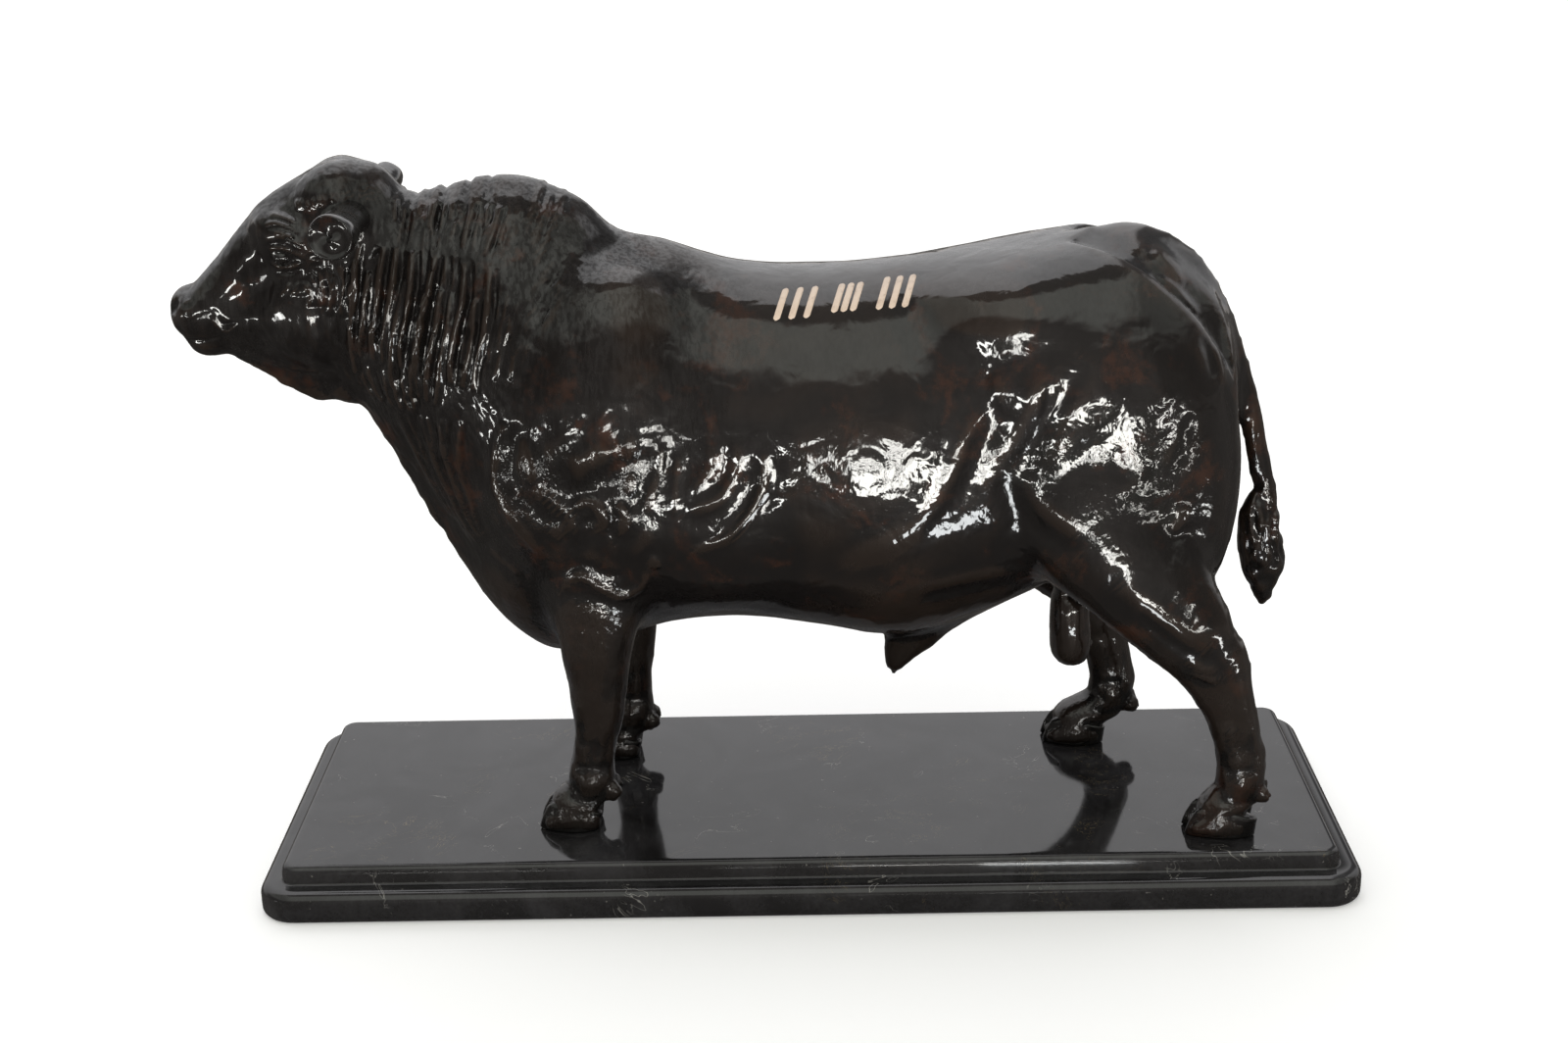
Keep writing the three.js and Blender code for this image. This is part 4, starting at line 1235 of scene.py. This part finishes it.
# Folds of the flank, the front of the thigh and the hock
FLANK = (
    Stroke(((96, 247), (85, 227), (76, 203), (62, 182), (41, 168), (19, 157)), 6.5, 1.1, lip=0.7),
    Stroke(((105, 242), (95, 222), (86, 202), (72, 186), (50, 172)), 8.0, -0.9),
    Stroke(((98, 251), (112, 253), (127, 251)), 12.0, 1.9),
    Stroke(((135, 269), (126, 253), (115, 236), (105, 218), (92, 197)), 9.0, 1.3, lip=0.8),
    Stroke(((146, 268), (138, 253), (127, 236), (118, 216), (114, 207)), 6.0, -1.3),
    Stroke(((116, 206), (122, 194), (133, 184), (146, 175)), 7.5, 1.3),
    Stroke(((106, 204), (112, 188), (126, 174), (144, 164)), 7.0, -1.5),
    Fan(
        ((130, 232), (130, 212), (136, 188)),
        ((192, 232), (188, 212), (180, 188)),
        4, Stroke((), 7.0, 0.4), groove=0.35, ragged=0.3, wander=1.5, seed=22,
    ),
    Stroke(((199, 190), (198, 181), (190, 172)), 5.0, 1.5),
    Stroke(((188, 178), (196, 172), (204, 176)), 3.0, -1.2),
    Stroke(((57, 141), (94, 146), (119, 146)), 3.4, 0.8),
    Stroke(((60, 133), (88, 138), (116, 141)), 3.6, -0.8),
    Stroke(((165, 150), (180, 138), (197, 124), (214, 112)), 6.5, 1.5),
    Stroke(((176, 133), (192, 119), (208, 108)), 4.5, -1.0),
    Stroke(((202, 236), (197, 211)), 3.4, -0.8),
    Fan(
        ((199, 112), (210, 104), (223, 101)),
        ((203, 100), (214, 93), (224, 92)),
        2, Stroke((), 2.6, 1.1), groove=0.9, seed=23,
    ),
    Fan(
        ((140, 122), (138, 100), (140, 80)),
        ((158, 122), (160, 100), (158, 80)),
        6, Stroke((), 1.7, 0.7, wraps=True), groove=0.7, seed=24,
    ),
)

# The foot of the hollow beside the tail head, as x and the distance from the middle
TAIL_HOLLOW = ((146, 10), (160, 26), (176, 36), (196, 41), (214, 38), (228, 33))

# The hollows on both sides of the tail head, and the root of the tail
RUMP = (
    *(
        Stroke(tuple((x, side * y) for x, y in hollow), 17.0, -7.5, lip=0.25, plane=Plane.TOP)
        for side, hollow in ((-1, TAIL_HOLLOW), (1, TAIL_HOLLOW[::-1]))
    ),
    Stroke(((187, 317), (196, 310), (206, 299)), 1.9, 1.6, wraps=True, clear=9.0),
    Stroke(((191, 308), (203, 298), (215, 284)), 1.8, 1.7, wraps=True, clear=9.0),
    Stroke(((209, 276), (213, 266), (216, 253)), 3.4, -1.2),
    Stroke(((217, 269), (220, 258), (222, 247)), 2.2, 0.8),
    Stroke(((229, 256), (237, 249), (241, 246)), 1.0, -0.9, wraps=True),
)

# Locks of hair on the switch of the tail
TAIL = (
    Fan(
        ((250, 182), (244, 166), (247, 146), (249, 128), (255, 110)),
        ((259, 182), (265, 166), (264, 146), (268, 130), (262, 112)),
        6, Stroke((), 1.5, 1.3, wraps=True), groove=1.3, ragged=0.3, wander=1.2, seed=31,
    ),
)

# Folds of the cheek behind and under the eye, and along the jaw
CHEEK = (
    Fan(
        ((-261, 313), (-257, 302), (-258, 284)),
        ((-231, 326), (-233, 304), (-237, 284)),
        8, Stroke((), 1.8, 2.1), groove=1.4, ragged=0.25, wander=0.6, seed=41,
    ),
    Fan(
        ((-257, 311), (-259, 304), (-262, 299)),
        ((-266, 309), (-270, 303), (-275, 300)),
        4, Stroke((), 1.1, 0.9), groove=0.6, ragged=0.1, wander=0.2, seed=42,
    ),
    Fan(
        ((-268, 250), (-265, 241)),
        ((-248, 250), (-245, 241)),
        5, Stroke((), 1.1, 0.8), seed=43,
    ),
    Stroke(((-297, 265), (-279, 258), (-268, 255), (-258, 257)), 1.8, 0.8),
    Stroke(((-297, 260), (-279, 253), (-256, 253)), 1.6, -0.8),
    Stroke(((-246, 296), (-245, 288), (-247, 280)), 1.4, 0.9),
)

# Wrinkles over and round the eye, its lids, and the tufts of the forehead
BROW = (
    Fan(
        ((-283, 340), (-275, 342), (-266, 340), (-257, 335)),
        ((-281, 329), (-271, 332), (-263, 329.5), (-255, 325)),
        4, Stroke((), 1.1, 1.4), groove=1.0, ragged=0.2, wander=0.3, seed=51,
    ),
    Stroke(((-278, 325), (-273, 326.5), (-268, 326), (-263, 323.5), (-258, 321)), 1.1, 1.7),
    Stroke(((-277, 317), (-272, 315.5), (-266, 316), (-260, 318)), 1.0, 1.2),
    Stroke(((-276, 312), (-267, 312.5), (-260, 315)), 1.0, -1.1),
    Stroke(((-285, 322), (-283, 317)), 0.9, -0.9),
    Fan(
        ((-257, 334), (-247, 340)),
        ((-257, 315), (-250, 311)),
        5, Stroke((), 1.0, 1.2), groove=0.9, wander=0.3, seed=52,
    ),
    Fan(
        ((-262, 351), (-260, 344)),
        ((-222, 358), (-222, 350)),
        13, Stroke((), 1.0, 1.2, wraps=True), groove=0.9, wander=0.3, seed=53,
    ),
)

# Nostril wing, lips and chin
MUZZLE = (
    Stroke(((-313, 288), (-311, 282), (-306, 279), (-300, 283)), 1.0, 0.8),
    Stroke(((-310, 287), (-307, 283), (-302, 284)), 0.8, -0.7),
    Stroke(((-330, 273.5), (-318, 274.5), (-306, 276.5)), 1.0, -0.9),
    Stroke(((-323, 270), (-311, 270)), 1.4, 0.35),
    Fan(
        ((-329, 294), (-322, 297)),
        ((-327, 283), (-319, 285)),
        4, Stroke((), 0.8, 0.6), groove=0.4, wander=0.2, seed=61,
    ),
)


@dataclass(frozen=True)
class Ear:
    """A thick cup of an ear that stands out sideways and opens outwards and a little forwards."""

    side: Side
    x: float = -234.0
    rise: float = 1.5
    height: float = 340.0
    share: float = 1.0
    root: float = 46.0
    flare: float = 52.0
    segments: int = 48
    outer: Line = (
        *((26, 11.0), (36, 10.2), (46, 10.0), (54, 10.8), (62, 11.8)),
        *((69, 12.4), (75, 12.5), (79, 12.0), (80.4, 11.4)),
    )
    inner: Line = (
        *((80.2, 10.9), (79.7, 10.3), (79.0, 9.4), (78.6, 8.0)),
        *((78.5, 5.6), (78.7, 3.0), (78.8, 0.7)),
    )

    def _section(self, out: float, girth: float) -> Section:
        """One ring round the ear, its rim drawn out to a point above and cut back below and before.

        Args:
            out: How far from the middle of the head it lies.
            girth: Its radius.

        Returns:
            The ring's points.
        """
        drawn = max(0.0, (out - self.flare) / 28.0) ** 2
        away = self.root + (out - self.root) * self.share

        def place(angle: float) -> Triple:
            """One point of the ring."""
            point = math.exp(-(((angle - math.radians(100)) / 0.5) ** 2))
            pulled = -1.6 * math.sin(angle) + 2.4 * math.cos(angle) + 1.2 * point
            size = girth * self.share * (1.0 + 0.10 * point * drawn)
            up = self.height + SOLE + self.rise * drawn + size * 0.92 * math.sin(angle)
            return self.x + size * math.cos(angle), self.side.value * (away + drawn * pulled), up

        return ring(self.segments, place)

    def build(self, material: bpy.types.Material) -> bpy.types.Object:
        """Draws the ear out from the head and back into its cup.

        Args:
            material: The bronze.

        Returns:
            The piece.
        """
        name = self.side.named("ear")
        shape = loft([self._section(out, girth) for out, girth in (*self.outer, *self.inner)])
        return add_piece(name, to_mesh(shape, name), material, coarse=0.05)


@dataclass(frozen=True)
class Eye:
    """An eyeball between its lids."""

    side: Side
    centre: tuple[float, float, float] = (-271.0, 26.2, 320.8)
    girth: tuple[float, float, float] = (5.0, 4.4, 3.9)

    def build(self, material: bpy.types.Material) -> bpy.types.Object:
        """Sets a stretched ball into the socket.

        Args:
            material: The bronze.

        Returns:
            The piece.
        """
        shape = bmesh.new()
        bmesh.ops.create_uvsphere(shape, u_segments=32, v_segments=20, radius=1.0)
        bmesh.ops.scale(shape, verts=shape.verts, vec=[size * MM for size in self.girth])
        x, y, z = self.centre
        bmesh.ops.translate(shape, verts=shape.verts, vec=(x * MM, self.side.value * y * MM, (z + SOLE) * MM))
        name = self.side.named("eye")
        return add_piece(name, to_mesh(shape, name), material, coarse=0.0)


@dataclass(frozen=True)
class Hoof:
    """A cloven hoof of two claws, with the two dewclaws behind the fetlock.

    The wall's rows are a level, the share of the claw's length there and how far it lies back. The horn's are
    a distance along a dewclaw and its girth there.
    """

    leg: Leg
    half_width: float = 7.1
    spread: float = 7.5
    segments: int = 32
    wall: Section = (
        *((-0.2, 0.95, 0.0), (0.9, 1.0, 0.0), (4.0, 0.985, 0.5), (7.5, 0.96, 1.3), (10.4, 0.92, 2.2)),
        *((12.2, 0.90, 2.8), (13.6, 0.88, 3.4), (15.0, 0.82, 4.2), (16.4, 0.68, 4.9), (17.6, 0.42, 5.4)),
    )
    horn: Line = ((0, 3.6), (3, 3.6), (6, 3.2), (8.5, 2.5), (10.2, 1.6), (11.2, 0.7))

    def _claw(self, side: int) -> bmesh.types.BMesh:
        """One claw, from its sole up past the band of its crown.

        Args:
            side: The side of the hoof that it is on, as the sign of its y.

        Returns:
            The closed shape.
        """
        half = self.leg.claw / 2

        def place(row: Triple, angle: float) -> Triple:
            """One point of the wall."""
            level, share, back = row
            toe = ((1.0 - math.cos(angle)) / 2.0) ** 2
            across = self.half_width * (share * 0.5 + 0.5) * math.sin(angle) * (1.0 - 0.42 * toe)
            return (
                self.leg.toe + half + back + half * share * math.cos(angle),
                self.leg.y + side * (self.spread - 1.6 * toe) + across,
                level * (1.0 - 0.17 * (1.0 + math.cos(angle))) + SOLE,
            )

        return loft([ring(self.segments, partial(place, row)) for row in self.wall])

    def _dewclaw(self, side: int) -> bmesh.types.BMesh:
        """One small horn that hooks back and down behind the fetlock.

        Args:
            side: The side of the hoof that it is on, as the sign of its y.

        Returns:
            The closed shape.
        """
        x, z = self.leg.shin[-1][0] + 7.0, self.leg.fetlock - 1.0

        def place(row: tuple[float, float], angle: float) -> Triple:
            """One point of the horn."""
            along, girth = row
            lean = 0.62 + along * 0.03
            forth, up = math.sin(lean), -math.cos(lean)
            return (
                x + along * forth - girth * math.sin(angle) * up,
                self.leg.y + side * 5.6 + girth * 0.85 * math.cos(angle),
                z + SOLE + along * up + girth * math.sin(angle) * forth,
            )

        return loft([ring(20, partial(place, row)) for row in self.horn])

    def build(self, material: bpy.types.Material) -> bpy.types.Object:
        """Makes the claws and dewclaws.

        Args:
            material: The bronze.

        Returns:
            The piece.
        """
        name = f"{self.leg.name}_hoof"
        shapes = [make(side) for side in (-1, 1) for make in (self._claw, self._dewclaw)]
        return add_piece(name, joined(shapes, name), material, coarse=1.1)


@dataclass(frozen=True)
class FlankMarks:
    """Rows of short slanted strokes in worn cream on the near flank.

    Each group is its x and z in an upright plane before the flank, its width and its height. The strokes are
    cast from that plane on to the skin.
    """

    groups: tuple[tuple[float, ...], ...] = (
        (-1.5, 298.5, 22.0, 20.0),
        (25.5, 301.5, 16.0, 18.5),
        (51.0, 304.0, 20.0, 21.0),
    )
    bars: int = 3
    width: float = 3.6
    slant: float = 0.28
    proud: float = 0.28
    thickness: float = 0.8
    climb: float = 0.07
    plane: float = -50.0
    cast: Vector = Vector((0.0, 0.93, -0.37))

    def _bar(self, x: float, z: float, height: float, skin: BVHTree) -> bmesh.types.BMesh:
        """One round-ended stroke laid on the skin.

        Args:
            x: The middle of the stroke, along the animal.
            z: Its middle, above the soles.
            height: Its length.
            skin: The casting.

        Returns:
            The closed shape.
        """
        shape = bmesh.new()
        bmesh.ops.create_grid(shape, x_segments=8, y_segments=24, size=1.0)
        rim = [vert for vert in shape.verts if vert.is_boundary]
        half = height / 2
        blunt = 1.0 - self.width / height
        for vert in shape.verts:
            end = max(0.0, (abs(vert.co.y) - blunt) / (1.0 - blunt))
            across = vert.co.x * self.width / 2 * math.sqrt(max(0.02, 1.0 - end * end))
            upward = vert.co.y * half
            spot = Vector((x + across + upward * self.slant, self.plane, z + SOLE + upward)) * MM
            hit, normal, _, _ = skin.ray_cast(spot - self.cast * 0.1, self.cast)
            vert.co = hit + normal * (0.0 if vert in rim else self.proud) * MM
        geometry = shape.verts[:] + shape.edges[:] + shape.faces[:]
        bmesh.ops.solidify(shape, geom=geometry, thickness=self.thickness * MM)
        bmesh.ops.recalc_face_normals(shape, faces=shape.faces)
        return shape

    def build(self, casting: bpy.types.Object, material: bpy.types.Material) -> bpy.types.Object:
        """Lays the strokes on the casting.

        Args:
            casting: The skin that they lie on.
            material: The cream.

        Returns:
            The piece.
        """
        skin = tree_of(casting.data)
        shapes = []
        for x, z, wide, tall in self.groups:
            for i in range(self.bars):
                offset = (i / (self.bars - 1) - 0.5) * (wide - self.width - tall * self.slant * 0.5)
                shapes.append(self._bar(x + offset, z + offset * self.climb, tall, skin))
        return add_piece("flank_marks", joined(shapes, "flank_marks"), material)


@dataclass
class MarblePlinth:
    """A slab with a bullnosed lower tier, a narrow shelf and a rounded upper tier."""

    length: float
    width: float
    height: float
    corner: float = 21.0
    lower: float = 17.5
    step: float = 12.0
    bullnose: float = 6.2
    lip: float = 4.0
    turns: int = 14

    @classmethod
    def like(cls, node: bpy.types.Object) -> MarblePlinth:
        """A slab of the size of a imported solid."""
        corners = np.array([tuple(corner) for corner in node.bound_box])
        return cls(*(round(float(size) / MM, 1) for size in np.ptp(corners, axis=0)))

    @staticmethod
    def _rounding(radius: float, inset: float, top: float, turn: int) -> list[tuple[float, float]]:
        """A quarter circle that starts at an inset and rises to a top, cut every so many degrees."""
        turns = [math.radians(angle) for angle in range(0, 91, turn)]
        return [(inset + radius * (1 - math.cos(a)), top - radius * (1 - math.sin(a))) for a in turns]

    def _profile(self) -> list[tuple[float, float]]:
        """Inset and height of each line of the edge, from the underside up.

        Returns:
            The lines.
        """
        rows = [(3.2, 0.0), (1.6, 0.4), (0.6, 1.6), (0.1, 3.0), (0.0, 5.0)]
        rows += self._rounding(self.bullnose, 0.0, self.lower, 9)
        rows += [(self.step - 1.2, self.lower), (self.step - 0.3, self.lower + 0.35)]
        rows += [(self.step, self.lower + 1.2), (self.step + 0.2, self.height - self.lip - 1.0)]
        return rows + self._rounding(self.lip, self.step + 0.6, self.height, 10)

    def _outline(self, inset: float, level: float) -> Section:
        """One line round the edge, its corners quarter circles.

        Args:
            inset: How far it lies inside the slab's outline.
            level: Its height.

        Returns:
            The line's points.
        """
        straight = (self.length / 2 - self.corner, self.width / 2 - self.corner)
        round_off = self.corner - inset
        section = []
        for quarter, (along, across) in enumerate(((1, 1), (-1, 1), (-1, -1), (1, -1))):
            for step in range(self.turns + 1):
                angle = math.radians(90 * (quarter + step / self.turns))
                x = along * straight[0] + round_off * math.cos(angle)
                section.append((x, across * straight[1] + round_off * math.sin(angle), level))
        return section

    def build(self, material: bpy.types.Material) -> bpy.types.Object:
        """Draws the slab's outline up its edge profile.

        Args:
            material: The marble.

        Returns:
            The piece, which stands for the solid.
        """
        shape = loft([self._outline(inset, level) for inset, level in self._profile()])
        piece = add_piece("marble_slab", to_mesh(shape, "marble_slab"), material)
        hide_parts("marble_plinth")
        return piece


@dataclass(frozen=True)
class Card:
    """A bright card that lies on the floor, face up, for the lacquer to mirror.

    Cool runs from 0, a warm light, to 1, a bluish one.
    """

    x: float
    y: float
    width: float
    length: float
    glow: float
    cool: float

    def lay(self, number: int) -> None:
        """Puts the card into the scene, unseen by the camera.

        Args:
            number: The card's number.
        """
        data = bpy.data.lights.new(f"card_{number}", "AREA")
        data.shape = "RECTANGLE"
        data.size, data.size_y = self.width, self.length
        data.energy = self.glow * math.pi * self.width * self.length
        data.color = (1.0 - 0.07 * self.cool, 0.985 - 0.01 * self.cool, 0.93 + 0.07 * self.cool)
        card = put(f"card_{number}", data)
        turn = Vector((0.0, 0.0, 1.0)).to_track_quat("-Z", "Y")
        card.matrix_world = Matrix.Translation((self.x, self.y, 0.01)) @ turn.to_matrix().to_4x4()
        card.visible_camera = False


@dataclass
class Studio:
    """The floor, the lights and the camera."""

    eye: Triple = (0.0063, -1.2281, 0.6176)
    yaw: float = -0.80
    pitch: float = 19.29
    roll: float = 1.27
    lens: float = 53.62
    cards: tuple[Card, ...] = (
        Card(0.08, -1.02, 0.12, 0.34, 28.0, 0.1),
        Card(0.23, -1.06, 0.15, 0.50, 30.0, 0.0),
        Card(0.14, -1.42, 0.28, 0.16, 28.0, 0.1),
        Card(0.12, -1.78, 0.24, 0.40, 26.0, 0.1),
        Card(-0.08, -1.55, 0.08, 0.50, 22.0, 0.2),
        Card(0.17, -0.40, 0.10, 0.10, 20.0, 0.8),
        Card(0.68, -0.40, 0.08, 0.12, 22.0, 0.4),
        Card(0.42, -1.58, 0.26, 0.34, 30.0, 0.0),
        Card(1.00, -1.74, 0.34, 0.34, 28.0, 0.0),
        Card(2.20, -2.80, 0.80, 0.90, 22.0, 0.0),
        Card(-0.46, -1.55, 0.28, 0.46, 34.0, 0.2),
        Card(-0.97, -1.14, 0.18, 0.16, 30.0, 0.3),
        Card(-1.28, -0.72, 0.22, 0.50, 38.0, 0.3),
    )

    def build(self, floor: bpy.types.Material) -> None:
        """Sets the studio up round the object.

        Args:
            floor: The floor's finish.
        """
        self._floor(floor)
        self._sky()
        for number, card in enumerate(self.cards):
            card.lay(number)
        self._camera()
        bpy.context.scene.view_settings.view_transform = "Standard"

    @staticmethod
    def _floor(material: bpy.types.Material) -> None:
        """Lays the floor. It is left out of reflections, as a matt black card would hide it.

        Args:
            material: Its finish.
        """
        shape = bmesh.new()
        bmesh.ops.create_circle(shape, cap_ends=True, segments=64, radius=14.0)
        mesh = to_mesh(shape, "studio_floor")
        mesh.materials.append(material)
        floor = put("studio_floor", mesh)
        floor.visible_glossy = False

    @staticmethod
    def _sky() -> None:
        """Makes the surroundings: bright behind and above, a dark canopy over the front, dim below."""
        world = bpy.data.worlds.new("studio_sky")
        bpy.context.scene.world = world
        sky = NodeTree(world, "Generated")
        split = sky.node("ShaderNodeSeparateXYZ", {}, {"Vector": sky.place})
        along, across, up = (Value(sky, socket) for socket in split.outputs)
        wobble = (sky.noise(450, 3, 0.55) - 0.5) * 0.16
        high = up.most(0.0)
        shade = along.eased(0.22, 0.36) * (1.0 - along.eased(0.56, 0.7)) * up.eased(0.1, 0.25)
        behind = (high * high * 1.7 + 0.72) * (1.0 - shade * 0.8)
        band = (up + wobble).eased(0.30, 0.50) * (1.0 - (up + wobble * 0.4).eased(0.90, 0.945))
        middle = along.eased(-0.6, -0.1) * (1.0 - along.eased(0.3, 0.6))
        before = (band * 0.98 + (up + wobble).eased(-0.02, 0.02) * 0.16 + 0.2) * (middle * 0.5 + 0.5)
        low = 1.0 - high
        share = ((across + wobble * 0.5 - low * 0.22) / (low * 0.45 + 0.05)).eased(-0.3, 0.7)
        light = behind * share + before * (1.0 - share)
        dim = (0.12 + (up + 0.75).eased(0.0, 0.7) * 0.14) * (1.0 - across.eased(0.05, 0.5) * 0.55)
        level = dim + (light - dim) * up.eased(-0.02, 0.03)
        olive = sky.blend(band * (1.0 - share), (1.0, 0.93, 0.87), (0.98, 1.0, 0.92))
        tint = sky.blend(share * up.eased(0.0, 0.1), olive, (0.99, 0.985, 1.0))
        glow = sky.node("ShaderNodeBackground", {}, {"Color": tint, "Strength": level})
        plain = sky.node("ShaderNodeBackground", {}, {"Color": (1.0, 1.0, 1.0, 1.0), "Strength": 1.0})
        ray = sky.node("ShaderNodeLightPath").outputs["Is Camera Ray"]
        both = sky.node("ShaderNodeMixShader", {}, {0: ray, 1: glow.outputs[0], 2: plain.outputs[0]})
        sky.node("ShaderNodeOutputWorld", {}, {"Surface": both.outputs[0]})

    def _camera(self) -> None:
        """Sets the camera up from its measured place and angles."""
        yaw, pitch, roll = (math.radians(a) for a in (self.yaw, self.pitch, self.roll))
        ahead = Vector((math.sin(yaw) * math.cos(pitch), math.cos(yaw) * math.cos(pitch), -math.sin(pitch)))
        right = Vector((math.cos(yaw), -math.sin(yaw), 0.0))
        down = ahead.cross(right)
        if down.z > 0:
            down.negate()
        across = right * math.cos(roll) + down * math.sin(roll)
        below = down * math.cos(roll) - right * math.sin(roll)
        data = bpy.data.cameras.new("camera")
        data.sensor_width = 36.0
        data.lens = self.lens
        data.clip_end = 60.0
        camera = put("camera", data)
        basis = Matrix((across, -below, -ahead)).transposed().to_4x4()
        camera.matrix_world = Matrix.Translation(self.eye) @ basis
        bpy.context.scene.camera = camera


def main() -> None:
    """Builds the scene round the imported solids."""
    logging.basicConfig(level=logging.INFO, format="%(name)s: %(message)s")
    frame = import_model()
    Studio().build(PalePlaster().material())
    bronze = LacqueredBronze().material()
    casting = BullCasting().build(frame["nodes"]["bronze_bull"], bronze)
    Ear(Side.NEAR).build(bronze)
    Ear(Side.FAR, x=-230.0, height=342.5, share=0.72).build(bronze)
    for side in (Side.NEAR, Side.FAR):
        Eye(side).build(bronze)
    for leg in LEGS:
        Hoof(leg).build(bronze)
    FlankMarks().build(casting, CreamPaint().material())
    MarblePlinth.like(frame["nodes"]["marble_plinth"]).build(PolishedMarble().material())


if __name__ == "__main__":
    main()
